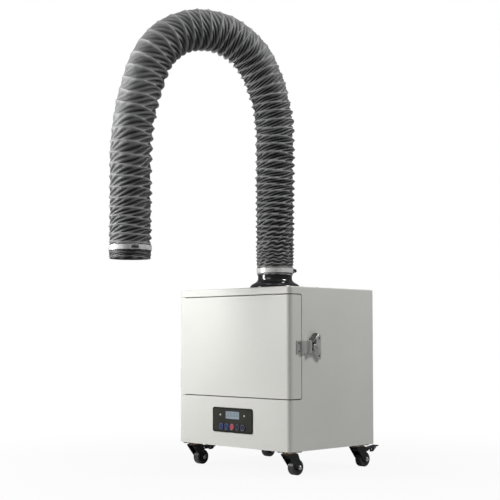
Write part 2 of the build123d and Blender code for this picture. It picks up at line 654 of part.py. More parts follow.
CUFF_R = 39.3
BASE_CLAMP_R = CUFF_R + 0.35
hose_clamp("clamp_base", (0, 0, Z_TOP + CLAMP_H), BASE_CLAMP_R, 40)
END_CLAMP_AT = duct_place(DUCT_LEN - 22.0)
END_CUFF_R = END_CLAMP_R - BAND_T
hose_clamp("clamp_end", END_CLAMP_AT, END_CUFF_R, -27)

# ---------------------------------------------------------------- duct
def duct_tube(node, steps, bore):
    """A tube along the duct's line: steps are (start, end, outer radius)."""
    with BuildPart() as tube:
        for start, end, outer in steps:
            marks = [start]
            passed = 0.0
            for run in DUCT_RUNS:
                passed += run_length(run)
                if start < passed < end:
                    marks.append(passed)
            marks.append(end)
            with BuildLine(ARCH_PLANE) as route:
                for first, last in zip(marks, marks[1:]):
                    a, b, c = (duct_at(d) for d in (first, (first + last) / 2, last))
                    if abs(a[2] - c[2]) < 0.01:
                        Line(a[:2], c[:2])
                    else:
                        ThreePointArc(a[:2], b[:2], c[:2])
            with BuildSketch(Plane(origin=route.line @ 0, z_dir=route.line % 0)):
                Circle(outer)
                Circle(bore, mode=Mode.SUBTRACT)
            sweep(path=route.line)
    save(tube, node)


LEAN = (LEAN_AT - BEND_HALF, LEAN_AT + BEND_HALF)
ARCH = (ARCH_AT - BEND_HALF, ARCH_AT + BEND_HALF)
DROP = (NOZZLE_AT - BEND_HALF, NOZZLE_AT + BEND_HALF)
RISER_END = run_length(DUCT_RUNS[0]) + run_length(DUCT_RUNS[1])
duct_tube("duct_lower", [(CUFF_START, LOWER_START, CUFF_R), (LOWER_START, LEAN[0], DUCT_R)], DUCT_BORE_R)
duct_tube("bellows_lean", [(*LEAN, DUCT_R)], DUCT_BORE_R)
duct_tube("duct_riser", [(LEAN[1], RISER_END, DUCT_R)], DUCT_BORE_R)
duct_tube("duct_arch_rear", [(RISER_END, ARCH[0], DUCT_R)], DUCT_BORE_R)
duct_tube("bellows_arch", [(*ARCH, DUCT_R)], DUCT_BORE_R)
duct_tube("duct_drop", [(ARCH[1], DROP[0], DUCT_R)], DUCT_BORE_R)
duct_tube("bellows_drop", [(*DROP, DUCT_R)], DUCT_BORE_R)
duct_tube("duct_nozzle", [(DROP[1], DUCT_LEN - MOUTH_CUFF, DUCT_R),
                          (DUCT_LEN - MOUTH_CUFF, DUCT_LEN, END_CUFF_R - 0.2)], DUCT_BORE_R)

# ---------------------------------------------------------------- blower
SCROLL_R, SCROLL_WALL = 92.0, 2.0
SCROLL_Z0, SCROLL_Z1 = 72.0, DIVIDER_Z - 6.0
OUTLET_X, OUTLET_W = -57.0, 70.0
OUTLET_END = Y_REAR - SHEET - 2.0
MOTOR_R, MOTOR_HOLE_R = 40.0, 22.0
SHAFT_R = 4.0
IMPELLER_R, EYE_R = 80.0, 48.0
IMPELLER_Z0, IMPELLER_Z1 = SCROLL_Z0 + 6.0, SCROLL_Z1 - 6.0
BLADES = 10

with BuildPart() as blower_housing:
    for inset, mode in ((0.0, Mode.ADD), (SCROLL_WALL, Mode.SUBTRACT)):
        with BuildSketch(Plane.XY.offset(SCROLL_Z0 + inset)):
            Circle(SCROLL_R - inset)
            with Locations((OUTLET_X, OUTLET_END / 2 + inset / 2)):
                Rectangle(OUTLET_W - 2 * inset, OUTLET_END + inset)
        extrude(amount=SCROLL_Z1 - SCROLL_Z0 - 2 * inset, mode=mode)
    with BuildSketch(Plane.XY.offset(SCROLL_Z1)):
        Circle(INLET_R)
    extrude(amount=DIVIDER_Z - SCROLL_Z1)
    with BuildSketch(Plane.XY.offset(SCROLL_Z1 - SCROLL_WALL)):
        Circle(INLET_R - SCROLL_WALL)
    extrude(amount=DIVIDER_Z - SCROLL_Z1 + SCROLL_WALL, mode=Mode.SUBTRACT)
    with BuildSketch(Plane.XY.offset(SCROLL_Z0 - 1)):
        Circle(MOTOR_HOLE_R)
    extrude(amount=SCROLL_WALL + 2, mode=Mode.SUBTRACT)
save(blower_housing, "blower_housing")

with BuildPart() as impeller:
    with BuildSketch(Plane.XY.offset(IMPELLER_Z0)):
        Circle(IMPELLER_R)
    extrude(amount=2)
    with BuildSketch(Plane.XY.offset(IMPELLER_Z1 - 2)):
        Circle(IMPELLER_R)
        Circle(EYE_R, mode=Mode.SUBTRACT)
    extrude(amount=2)
    with BuildSketch(Plane.XY.offset(IMPELLER_Z0)):
        with PolarLocations((IMPELLER_R + EYE_R) / 2 - 1, BLADES):
            with Locations(Location((0, 0, 0), (0, 0, 38))):
                Rectangle(38, 2)
    extrude(amount=IMPELLER_Z1 - IMPELLER_Z0)
    with BuildSketch(Plane.XY.offset(IMPELLER_Z0)):
        Circle(14)
    extrude(amount=16)
    with BuildSketch(Plane.XY.offset(Z_BASE + 10)):
        Circle(SHAFT_R)
    extrude(amount=IMPELLER_Z0 - Z_BASE - 10)
save(impeller, "impeller")

with BuildPart() as motor:
    with BuildSketch(Plane.XY.offset(Z_BASE + SHEET)):
        Circle(MOTOR_R)
    extrude(amount=SCROLL_Z0 - Z_BASE - SHEET)
    with BuildSketch(Plane.XY.offset(Z_BASE + 9)):
        Circle(SHAFT_R + RUNNING)
    extrude(amount=SCROLL_Z0, mode=Mode.SUBTRACT)
save(motor, "motor")

# ---------------------------------------------------------------- mains inlet and switch, at the back
ROCKER_HALF = 11.0
ROCKER_H = 9.2
PIN_LEN = 12.0
INLET_DEEP = 22.0

with BuildPart() as power_inlet:
    for spot, body, cover in ((POWER_AT, (28, 20), (50, 26)), (SWITCH_AT, (28, 12), (33, 17))):
        with BuildSketch(Plane.XZ.offset(-Y_REAR)):
            with Locations(spot):
                Rectangle(*body)
        extrude(amount=INLET_DEEP)
        with BuildSketch(Plane.XZ.offset(-Y_REAR)):
            with Locations(spot):
                RectangleRounded(*cover, 3)
        extrude(amount=-2.0)
    with BuildSketch(Plane.XZ.offset(-Y_REAR - 3)):
        with Locations(POWER_AT):
            RectangleRounded(24, 16, 3)
        with Locations(SWITCH_AT):
            Rectangle(25.4, 10.0)
    extrude(amount=17, mode=Mode.SUBTRACT)
    with BuildSketch(Plane.XZ.offset(-Y_REAR + 14)):
        with Locations((POWER_AT[0], POWER_AT[1] + 2.5)):
            Rectangle(2, 5)
        for side in (-7, 7):
            with Locations((POWER_AT[0] + side, POWER_AT[1] - 2.5)):
                Rectangle(2, 5)
    extrude(amount=-PIN_LEN)
save(power_inlet, "power_inlet")

with BuildPart() as power_rocker:
    with BuildSketch(Plane.XY.offset(SWITCH_AT[1] - ROCKER_H / 2)):
        with BuildLine():
            Polyline(
                (SWITCH_AT[0] - ROCKER_HALF, Y_REAR - 3.0), (SWITCH_AT[0] + ROCKER_HALF, Y_REAR - 3.0),
                (SWITCH_AT[0] + ROCKER_HALF, Y_REAR + 2.0), (SWITCH_AT[0], Y_REAR + 2.4),
                (SWITCH_AT[0] - ROCKER_HALF, Y_REAR + 5.4), close=True,
            )
        make_face()
    extrude(amount=ROCKER_H)
save(power_rocker, "power_rocker")

# ---------------------------------------------------------------- casters
RACE_Z0, RACE_R = 45.4, 14.5
CROWN_Z0, CROWN_Z1 = 42.0, 45.0
LEG_IN, LEG_T = WHEEL_W / 2 + 0.8, 2.0
LEG_OUT = LEG_IN + LEG_T
AXLE_R, NUT_R, NUT_T = 2.5, 4.2, 2.6
KINGPIN_R, PEDAL_PIN_R = 3.0, 1.2
LEG_FOOT_R = 7.5
PEDAL_PIVOT = (9.0, 38.6)
PEDAL_HALF = WHEEL_W / 2 - 0.5
PEDAL_T = 2.0

with BuildPart() as caster_plates:
    for spot in CASTER_SPOTS.values():
        with BuildSketch(Plane.XY.offset(FLOOR_GAP - PLATE_T)):
            with Locations(spot):
                RectangleRounded(PLATE_SIZE, PLATE_SIZE, 6)
                with GridLocations(PLATE_HOLES, PLATE_HOLES, 2, 2):
                    Circle(CLEAR_R, mode=Mode.SUBTRACT)
        extrude(amount=PLATE_T)
save(caster_plates, "caster_plates")

with BuildPart() as caster_races:
    for spot in CASTER_SPOTS.values():
        with BuildSketch(Plane.XY.offset(RACE_Z0)):
            with Locations(spot):
                Circle(RACE_R)
        extrude(amount=FLOOR_GAP - PLATE_T - RACE_Z0)
        with BuildSketch(Plane.XY.offset(CROWN_Z0 - 1.5)):
            with Locations(spot):
                Circle(KINGPIN_R)
        extrude(amount=RACE_Z0 - CROWN_Z0 + 1.5)
save(caster_races, "caster_races")

for corner, (sx, sy) in CASTER_SPOTS.items():
    axle_y = sy + TRAIL
    with BuildPart() as fork:
        with BuildSketch(Plane.YZ.offset(sx - LEG_OUT)) as cheek:
            with BuildSketch(mode=Mode.PRIVATE) as corners:
                with Locations((sy, (CROWN_Z0 + CROWN_Z1) / 2)):
                    Rectangle(27, CROWN_Z1 - CROWN_Z0)
                with Locations((axle_y, WHEEL_R)):
                    Circle(LEG_FOOT_R)
            make_hull(corners.sketch.edges())
        extrude(amount=2 * LEG_OUT)
        # The wheel's slot, open below and behind, closed by the crown above.
        with BuildSketch(Plane.YZ.offset(sx - LEG_IN)):
            with Locations((sy + 10, CROWN_Z0 - 40)):
                Rectangle(80, 80)
        extrude(amount=2 * LEG_IN, mode=Mode.SUBTRACT)
        with BuildSketch(Plane.XY.offset(CROWN_Z0 - 1)):
            with Locations((sx, sy)):
                Circle(KINGPIN_R + RUNNING)
        extrude(amount=5, mode=Mode.SUBTRACT)
        with BuildSketch(Plane.YZ.offset(sx - LEG_OUT - 1)):
            with Locations((axle_y, WHEEL_R)):
                Circle(AXLE_R)
        extrude(amount=2 * LEG_OUT + 2, mode=Mode.SUBTRACT)
        if corner in ("fl", "rr"):
            with BuildSketch(Plane.YZ.offset(sx - LEG_IN)):
                with Locations((sy + PEDAL_PIVOT[0], PEDAL_PIVOT[1])):
                    Circle(PEDAL_PIN_R)
            extrude(amount=2 * LEG_IN)
        with BuildSketch(Plane.YZ.offset(sx - LEG_OUT)):
            with Locations((axle_y, WHEEL_R)):
                Circle(AXLE_R)
        extrude(amount=2 * LEG_OUT)
        for face, way in ((sx - LEG_OUT, -1), (sx + LEG_OUT, 1)):
            with BuildSketch(Plane.YZ.offset(face)):
                with Locations((axle_y, WHEEL_R)):
                    RegularPolygon(NUT_R, 6)
            extrude(amount=way * NUT_T)
    save(fork, f"fork_{corner}")

    with BuildPart() as wheel:
        with BuildSketch(Plane.YZ.offset(sx - WHEEL_W / 2)):
            with Locations((axle_y, WHEEL_R)):
                Circle(WHEEL_R)
        extrude(amount=WHEEL_W)
        fillet(wheel.edges().filter_by(GeomType.CIRCLE), 2.5)
        for face, way in ((sx - WHEEL_W / 2, 1), (sx + WHEEL_W / 2, -1)):
            with BuildSketch(Plane.YZ.offset(face)):
                with Locations((axle_y, WHEEL_R)):
                    Circle(10.5)
                    Circle(5.0, mode=Mode.SUBTRACT)
            extrude(amount=way * 1.5, mode=Mode.SUBTRACT)
        with BuildSketch(Plane.YZ.offset(sx - WHEEL_W / 2 - 1)):
            with Locations((axle_y, WHEEL_R)):
                Circle(AXLE_R + RUNNING)
        extrude(amount=WHEEL_W + 2, mode=Mode.SUBTRACT)
    save(wheel, f"wheel_{corner}")

    if corner in ("fl", "rr"):
        near, top = sy + PEDAL_PIVOT[0], PEDAL_PIVOT[1] + 1.9
        with BuildPart() as pedal:
            with BuildSketch(Plane.YZ.offset(sx - PEDAL_HALF)):
                with BuildLine():
                    Polyline(
                        (near - 2.6, top - 3.8), (near + 2.6, top - 3.8), (sy + 42, top - PEDAL_T),
                        (sy + PEDAL_REACH, top + 1.2), (sy + PEDAL_REACH, top + 1.2 + PEDAL_T),
                        (sy + 41, top), (near - 2.6, top), close=True,
                    )
                make_face()
                with Locations((near, PEDAL_PIVOT[1])):
                    Circle(PEDAL_PIN_R + RUNNING, mode=Mode.SUBTRACT)
            extrude(amount=2 * PEDAL_HALF)
            # Side webs stiffen the pedal behind the wheel; each carries two rivets.
            for side in (-1, 1):
                with BuildSketch(Plane.YZ.offset(sx + side * (PEDAL_HALF - PEDAL_T / 2) - PEDAL_T / 2)):
                    with BuildLine():
                        Polyline(
                            (sy + 35, top - 1), (sy + 35.5, top - 9.5), (sy + 45, top - 9.5),
                            (sy + 57, top - 1), close=True,
                        )
                    make_face()
                extrude(amount=PEDAL_T)
        save(pedal, f"pedal_{corner}")

# ---------------------------------------------------------------- all the cabinet's screws
with BuildPart() as cabinet_screws:
    for radius, length in ((1.6, 4.0), (3.2, -2.0)):
        with BuildSketch(Plane.XZ.offset(-Y_REAR)):
            with Locations((0, (Z_BASE + Z_TOP) / 2)):
                with GridLocations(REAR_HOLES_X, REAR_HOLES_Z, 2, 3):
                    Circle(radius)
        extrude(amount=length)
    with BuildSketch(Plane.YZ.offset(X_SIDE)):
        with Locations((PLATE_BACK_Y, LATCH_Z + 18), (PLATE_BACK_Y, LATCH_Z - 18)):
            Circle(2.1)
    extrude(amount=LATCH_RISE - 2.2)
    for radius, foot, length in ((1.8, Z_TOP, FLANGE_BASE), (3.6, Z_TOP + FLANGE_BASE, 2.2)):
        with BuildSketch(Plane.XY.offset(foot)):
            with PolarLocations(FLANGE_PCD_R, 6, start_angle=15):
                Circle(radius)
        extrude(amount=length)
    for spot in CASTER_SPOTS.values():
        for radius, foot, length in (
            (SCREW_R, FLOOR_GAP - PLATE_T, PLATE_T + SHEET), (3.8, FLOOR_GAP + SHEET, 3.0),
            (3.4, FLOOR_GAP - PLATE_T - 1.2, 1.2),
        ):
            with BuildSketch(Plane.XY.offset(foot)):
                with Locations(spot):
                    with GridLocations(PLATE_HOLES, PLATE_HOLES, 2, 2):
                        Circle(radius)
            extrude(amount=length)
save(cabinet_screws, "cabinet_screws")
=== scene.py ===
"""Looks of the solder fume extractor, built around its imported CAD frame. Metres, +Z up."""
from math import cos, pi, radians, sin

import bmesh
import bpy
import numpy as np
from mathutils import Matrix, Vector


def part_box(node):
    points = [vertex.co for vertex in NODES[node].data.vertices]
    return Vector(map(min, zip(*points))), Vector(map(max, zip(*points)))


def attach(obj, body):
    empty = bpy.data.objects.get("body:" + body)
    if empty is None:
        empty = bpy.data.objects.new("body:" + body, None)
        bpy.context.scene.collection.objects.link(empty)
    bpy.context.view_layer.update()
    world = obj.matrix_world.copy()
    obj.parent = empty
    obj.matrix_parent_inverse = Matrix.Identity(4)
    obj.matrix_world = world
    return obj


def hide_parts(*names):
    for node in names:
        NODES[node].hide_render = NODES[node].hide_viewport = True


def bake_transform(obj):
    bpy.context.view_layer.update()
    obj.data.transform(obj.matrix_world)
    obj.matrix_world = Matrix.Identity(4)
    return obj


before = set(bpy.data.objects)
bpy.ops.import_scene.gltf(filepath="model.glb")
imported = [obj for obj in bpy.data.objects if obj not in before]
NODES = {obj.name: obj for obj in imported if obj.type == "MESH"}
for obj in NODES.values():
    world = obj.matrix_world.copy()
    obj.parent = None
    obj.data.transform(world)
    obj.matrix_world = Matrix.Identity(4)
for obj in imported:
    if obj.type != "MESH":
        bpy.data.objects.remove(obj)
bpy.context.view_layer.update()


def extent(node):
    """Lowest corner, highest corner and middle of a CAD node's box."""
    low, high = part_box(node)
    return low, high, (low + high) / 2


_, CABINET_HIGH, CENTRE = extent("cabinet_shell")
FLANGE_MID = extent("inlet_flange")[2]
DUCT_BASE = Vector((FLANGE_MID.x, FLANGE_MID.y, CABINET_HIGH.z))
UP = Vector((0, 0, 1))


# ---------------------------------------------------------------- camera, light and floor
def make_camera():
    """A low camera off the front right corner, looking up 3 degrees so that a small shift does."""
    data = bpy.data.cameras.new("camera")
    data.lens = 78.15
    data.sensor_width = 36.0
    data.shift_y = 0.06
    camera = bpy.data.objects.new("camera", data)
    camera.location = (CENTRE.x + 1.6574, CENTRE.y - 1.7299, 0.2781)
    camera.rotation_euler = (radians(93.082), 0, radians(45.096))
    bpy.context.scene.collection.objects.link(camera)
    bpy.context.scene.camera = camera


def area_light(name, place, target, size, power):
    """A rectangular softbox that faces its target."""
    data = bpy.data.lights.new(name, "AREA")
    data.shape = "RECTANGLE"
    data.size, data.size_y = size
    data.energy = power
    light = bpy.data.objects.new(name, data)
    light.location = Vector(place)
    light.rotation_euler = (Vector(target) - Vector(place)).to_track_quat("-Z", "Y").to_euler()
    bpy.context.scene.collection.objects.link(light)


def make_lights():
    """A softbox close to the hanging end of the duct, and three for the whole object."""
    aim = CENTRE + Vector((0, 0, 0.2))
    drop = Vector((CENTRE.x - 0.10, CENTRE.y - 0.22, 0.72))  # middle of the hanging end
    area_light("left", drop + Vector((-0.56, -0.62, 0.06)), drop, (0.26, 0.85), 12.5)
    area_light("front", CENTRE + Vector((-0.5, -3.0, 1.5)), aim, (2.2, 1.8), 20)
    area_light("top", CENTRE + Vector((-0.4, 0.4, 2.6)), CENTRE, (1.4, 1.4), 12)
    area_light("right", CENTRE + Vector((1.0, 0.62, 1.35)), aim, (0.4, 0.4), 18.5)


def make_world():
    """White where the camera sees it, and only a faint cool fill for everything else."""
    bpy.context.scene.view_settings.view_transform = "Standard"
    world = bpy.data.worlds.new("studio")
    bpy.context.scene.world = world
    world.use_nodes = True
    tree = world.node_tree
    tree.nodes.clear()
    out = tree.nodes.new("ShaderNodeOutputWorld")
    mix = tree.nodes.new("ShaderNodeMixShader")
    rays = tree.nodes.new("ShaderNodeLightPath")
    soft = tree.nodes.new("ShaderNodeBackground")
    seen = tree.nodes.new("ShaderNodeBackground")
    soft.inputs["Color"].default_value = (0.95, 0.97, 1.0, 1)
    soft.inputs["Strength"].default_value = 0.13
    seen.inputs["Color"].default_value = (1, 1, 1, 1)
    tree.links.new(rays.outputs["Is Camera Ray"], mix.inputs["Fac"])
    tree.links.new(soft.outputs[0], mix.inputs[1])
    tree.links.new(seen.outputs[0], mix.inputs[2])
    tree.links.new(mix.outputs[0], out.inputs[0])


def make_floor():
    """A plain pale floor that keeps soft shadows near the object and runs out into white."""
    bpy.ops.mesh.primitive_plane_add(size=30, location=(CENTRE.x, CENTRE.y, 0))
    floor = bpy.context.object
    floor.name = "floor"
    pale = bpy.data.materials.new("floor_pale")
    pale.use_nodes = True
    tree = pale.node_tree
    shader = tree.nodes["Principled BSDF"]
    shader.inputs["Base Color"].default_value = (0.45, 0.45, 0.45, 1)
    shader.inputs["Roughness"].default_value = 0.6
    glow = tree.nodes.new("ShaderNodeEmission")
    place = tree.nodes.new("ShaderNodeTexCoord")
    length = tree.nodes.new("ShaderNodeVectorMath")
    length.operation = "LENGTH"
    fade = tree.nodes.new("ShaderNodeMapRange")  # share of plain white, by distance
    fade.interpolation_type = "SMOOTHSTEP"
    fade.inputs["From Min"].default_value = 0.15
    fade.inputs["From Max"].default_value = 1.1
    fade.inputs["To Min"].default_value = 0.92
    rays = tree.nodes.new("ShaderNodeLightPath")
    seen = tree.nodes.new("ShaderNodeMath")
    seen.operation = "MULTIPLY"
    join = tree.nodes.new("ShaderNodeMixShader")
    tree.links.new(place.outputs["Object"], length.inputs[0])
    tree.links.new(length.outputs["Value"], fade.inputs["Value"])
    tree.links.new(fade.outputs[0], seen.inputs[0])
    tree.links.new(rays.outputs["Is Camera Ray"], seen.inputs[1])
    tree.links.new(seen.outputs[0], join.inputs["Fac"])
    tree.links.new(shader.outputs[0], join.inputs[1])
    tree.links.new(glow.outputs[0], join.inputs[2])
    tree.links.new(join.outputs[0], tree.nodes["Material Output"].inputs["Surface"])
    floor.data.materials.append(pale)


# ---------------------------------------------------------------- material building blocks
class Look:
    """A node material with the few building blocks that every finish here uses."""

    def __init__(self, name, colour, rough, metal=0.0, **shader_values):
        self.mat = bpy.data.materials.new(name)
        self.mat.use_nodes = True
        self.tree = self.mat.node_tree
        self.shader = self.tree.nodes["Principled BSDF"]
        self.shader.inputs["Base Color"].default_value = (*colour, 1)
        self.shader.inputs["Roughness"].default_value = rough
        self.shader.inputs["Metallic"].default_value = metal
        for key, value in shader_values.items():
            self.shader.inputs[key.replace("_", " ")].default_value = value
        coords = self.tree.nodes.new("ShaderNodeTexCoord")
        self.where = coords.outputs["Object"]
        self.uv = coords.outputs["UV"]
        self.normal = None

    def node(self, kind, **values):
        """A new node with some of its properties set."""
        made = self.tree.nodes.new(kind)
        for key, value in values.items():
            setattr(made, key, value)
        return made

    def link(self, source, target):
        self.tree.links.new(source, target)

    def noise(self, scale, detail=3.0, stretch=(1, 1, 1)):
        """Cloudy noise from 0 to 1, finer along the axes that stretch multiplies."""
        mapping = self.node("ShaderNodeMapping")
        mapping.inputs["Scale"].default_value = stretch
        self.link(self.where, mapping.inputs["Vector"])
        made = self.node("ShaderNodeTexNoise")
        made.inputs["Scale"].default_value = scale
        made.inputs["Detail"].default_value = detail
        self.link(mapping.outputs["Vector"], made.inputs["Vector"])
        return made.outputs["Fac"]

    def ramp(self, source, stops):
        """Colours laid over a value, from stops of (position, colour)."""
        made = self.node("ShaderNodeValToRGB")
        bar = made.color_ramp
        while len(bar.elements) < len(stops):
            bar.elements.new(0.5)
        for element, (place, colour) in zip(bar.elements, stops):
            element.position = place
            element.color = (*colour, 1)
        self.link(source, made.inputs["Fac"])
        return made.outputs["Color"]

    def math(self, kind, a, b):
        """Two values, each a number or a socket, put together."""
        made = self.node("ShaderNodeMath", operation=kind)
        for slot, value in enumerate((a, b)):
            if isinstance(value, (int, float)):
                made.inputs[slot].default_value = value
            else:
                self.link(value, made.inputs[slot])
        return made.outputs[0]

    def mix(self, factor, under, over):
        """The socket under, with the plain colour over laid on it by the socket factor."""
        made = self.node("ShaderNodeMix", data_type="RGBA")
        self.link(factor, made.inputs["Factor"])
        self.link(under, made.inputs[6])
        made.inputs[7].default_value = (*over, 1)
        return made.outputs[2]

    def multiply(self, a, b, factor):
        """The colour a, darkened by the colour b."""
        made = self.node("ShaderNodeMix", data_type="RGBA", blend_type="MULTIPLY")
        made.inputs["Factor"].default_value = factor
        self.link(a, made.inputs[6])
        self.link(b, made.inputs[7])
        return made.outputs[2]

    def colour(self, source):
        self.link(source, self.shader.inputs["Base Color"])

    def rough(self, source, low, high):
        """Roughness that runs from low to high with the source."""
        span = self.node("ShaderNodeMapRange")
        span.inputs["To Min"].default_value = low
        span.inputs["To Max"].default_value = high
        self.link(source, span.inputs["Value"])
        self.link(span.outputs[0], self.shader.inputs["Roughness"])

    def bump(self, source, distance):
        """Relief as deep as distance, on top of any relief added before."""
        made = self.node("ShaderNodeBump")
        made.inputs["Distance"].default_value = distance
        made.inputs["Strength"].default_value = 1.0
        self.link(source, made.inputs["Height"])
        if self.normal:
            self.link(self.normal, made.inputs["Normal"])
        self.normal = made.outputs["Normal"]
        self.link(self.normal, self.shader.inputs["Normal"])


def tint(colour, amount):
    """The same colour, lighter or darker."""
    return tuple(min(1.0, part * amount) for part in colour)


def powder_coat(name, colour, rough=0.42):
    """Satin powder coat: orange peel, faint cloudiness and a little handling wear."""
    look = Look(name, colour, rough, Coat_Weight=0.12, Coat_Roughness=0.35)
    base = look.ramp(look.noise(7, 4), [(0.3, tint(colour, 0.965)), (0.7, tint(colour, 1.02))])
    grain = look.ramp(look.noise(420, 2), [(0.35, (0.94, 0.94, 0.93)), (0.6, (1, 1, 1))])
    look.colour(look.multiply(base, grain, 0.6))
    look.rough(look.noise(60, 4), rough - 0.06, rough + 0.1)
    look.bump(look.noise(900, 2), 0.00006)
    look.bump(look.noise(260, 2), 0.00005)
    return look.mat


def plated_steel(name, colour, rough=0.3, brush=(1, 1, 40), stain=0.8, metal=1.0):
    """Plated sheet metal: fine rolling lines, duller patches and small stains."""
    look = Look(name, colour, rough, metal=metal)
    lines = look.noise(300, 3, stretch=brush)
    patches = look.noise(45, 5)
    look.colour(look.ramp(patches, [(0.35, tint(colour, stain)), (0.65, tint(colour, 1.06))]))
    mixed = look.math("ADD", look.math("MULTIPLY", lines, 0.5), look.math("MULTIPLY", patches, 0.5))
    look.rough(mixed, rough - 0.1, rough + 0.16)
    look.bump(lines, 0.00003)
    return look.mat


def moulded(name, colour, rough=0.35, grain=0.00004, scale=700, **values):
    """Moulded plastic or rubber: fine spark-eroded grain and uneven gloss."""
    look = Look(name, colour, rough, **values)
    look.colour(look.ramp(look.noise(30, 4), [(0.3, tint(colour, 0.85)), (0.7, tint(colour, 1.15))]))
    look.rough(look.noise(120, 3), rough - 0.05, rough + 0.1)
    look.bump(look.noise(scale, 2), grain)
    return look.mat


def spangled_zinc():
    """Galvanised sheet with its frosty spangle."""
    look = Look("zinc_spangle", (0.62, 0.63, 0.64), 0.38, metal=1.0)
    cells = look.node("ShaderNodeTexVoronoi")
    cells.inputs["Scale"].default_value = 110
    look.link(look.where, cells.inputs["Vector"])
    spangle = cells.outputs["Color"]
    look.colour(look.ramp(spangle, [(0.1, (0.5, 0.51, 0.53)), (0.9, (0.72, 0.73, 0.74))]))
    look.rough(spangle, 0.3, 0.5)
    look.bump(look.noise(500, 2), 0.00003)
    return look.mat


def duct_fabric():
    """Coated fabric over a wire helix: tight weave, painted shade in the hollows, painted highlight on the
    tops, and ridges rubbed paler and painted brighter.
    """
    look = Look(
        "duct_fabric", (0.07, 0.07, 0.072), 0.46,
        Sheen_Weight=0.12, Sheen_Roughness=0.5, Specular_IOR_Level=0.55,
    )
    ridge = look.node("ShaderNodeAttribute", attribute_name="ridge").outputs["Fac"]
    lift = look.node("ShaderNodeAttribute", attribute_name="lift").outputs["Fac"]
    # Painted shade and painted highlight: near black where the fabric sinks deepest, pale grey where it
    # stands highest.
    relief_shade_and_highlight = look.ramp(lift, [
        (0.18, (0.001, 0.001, 0.001)),
        (0.42, (0.017, 0.017, 0.018)),
        (0.62, (0.15, 0.15, 0.152)),
        (1.0, (0.33, 0.33, 0.33)),
    ])
    cloud = look.ramp(look.noise(24, 5), [(0.3, (0.72, 0.72, 0.72)), (0.7, (1.0, 1.0, 1.0))])
    shaded = look.multiply(relief_shade_and_highlight, cloud, 1.0)
    # Paler ridges: partly rubbed wear, partly a painted highlight.
    rubbed_and_highlit = look.math("MULTIPLY", look.math("MULTIPLY", ridge, look.noise(110, 4)), 0.75)
    look.colour(look.mix(rubbed_and_highlit, shaded, (0.42, 0.42, 0.42)))
    look.rough(look.noise(150, 4), 0.40, 0.58)
    across = look.node("ShaderNodeTexWave", bands_direction="X")
    along = look.node("ShaderNodeTexWave", bands_direction="Y")
    for wave in (across, along):
        wave.inputs["Scale"].default_value = 420
        look.link(look.uv, wave.inputs["Vector"])
    weave = look.math("MULTIPLY", across.outputs["Fac"], along.outputs["Fac"])
    look.bump(weave, 0.00010)
    look.bump(look.noise(260, 4), 0.00035)
    return look.mat


def webbing():
    """Woven ribbon: fine diagonal threads and a slightly furry sheen."""
    look = Look("webbing", (0.05, 0.09, 0.20), 0.7, Sheen_Weight=0.3)
    twill = look.node("ShaderNodeTexWave", bands_direction="DIAGONAL")
    twill.inputs["Scale"].default_value = 320
    twill.inputs["Distortion"].default_value = 0.6
    look.link(look.where, twill.inputs["Vector"])
    threads = twill.outputs["Fac"]
    look.colour(look.ramp(threads, [(0.2, (0.025, 0.05, 0.12)), (0.8, (0.07, 0.12, 0.26))]))
    look.rough(look.noise(200, 3), 0.6, 0.85)
    look.bump(threads, 0.0003)
    return look.mat


# ---------------------------------------------------------------- finishes
def metal_finishes():
    """Paint, plating and bare metal."""
    cabinet = (0.735, 0.732, 0.69)
    even, along_y, along_z = (1, 1, 1), (1, 14, 1), (1, 1, 14)
    return {
        "paint": powder_coat("cabinet_paint", cabinet),
        "inner_paint": powder_coat("inner_paint", tint(cabinet, 0.92), 0.5),
        "zinc": spangled_zinc(),
        "nickel": plated_steel("latch_nickel", (0.64, 0.635, 0.61), 0.34, along_y, metal=0.45),
        "nickel_bright": plated_steel("latch_bright", (0.78, 0.77, 0.75), 0.2, along_z, 0.96, 0.55),
        # The wing's darker copy of the latch metal is painted shade.
        "nickel_painted_shade": plated_steel("latch_painted_shade", (0.20, 0.20, 0.19), 0.36, along_y, metal=0.6),
        # The worm screws are coloured dark as painted shade of the buckle.
        "worm": plated_steel("worm_painted_shade", (0.13, 0.13, 0.13), 0.3, even, 0.7, 0.8),
        "band": plated_steel("band_steel", (0.80, 0.80, 0.79), 0.24, (1, 1, 30), 0.94, 0.3),
        "screw": plated_steel("screw_zinc", (0.66, 0.66, 0.64), 0.28, even),
        "race": plated_steel("race_gold", (0.52, 0.30, 0.12), 0.34, even, 0.55),
    }


def plastic_finishes():
    """Mouldings, rubber, foam and filter stuff."""
    return {
        "black_gloss": moulded("black_gloss", (0.013, 0.013, 0.014), 0.16, 0.00001, 300,
                               Coat_Weight=0.5, Coat_Roughness=0.08),
        "black_coat": moulded("caster_black", (0.007, 0.008, 0.010), 0.26, 0.00006, 500,
                              Specular_IOR_Level=0.4),
        "black_matt": moulded("black_matt", (0.03, 0.03, 0.031), 0.55, 0.00008, 600),
        "rubber": moulded("wheel_rubber", (0.030, 0.026, 0.026), 0.36, 0.00005, 420, Sheen_Weight=0.2),
        "foam": moulded("gasket_foam", (0.03, 0.03, 0.03), 0.85, 0.0003, 900),
        "fabric": duct_fabric(),
        "webbing": webbing(),
        "card": moulded("filter_card", (0.70, 0.69, 0.63), 0.75, 0.00025, 420),
        "frame_black": moulded("filter_frame", (0.022, 0.022, 0.023), 0.4, 0.00006, 500),
        "pleats": moulded("filter_paper", (0.74, 0.73, 0.69), 0.8, 0.0003, 300),
        "fleece": moulded("filter_fleece", (0.78, 0.79, 0.78), 0.9, 0.0006, 260),
        "carbon": moulded("carbon_granules", (0.025, 0.025, 0.026), 0.6, 0.0008, 190),
    }


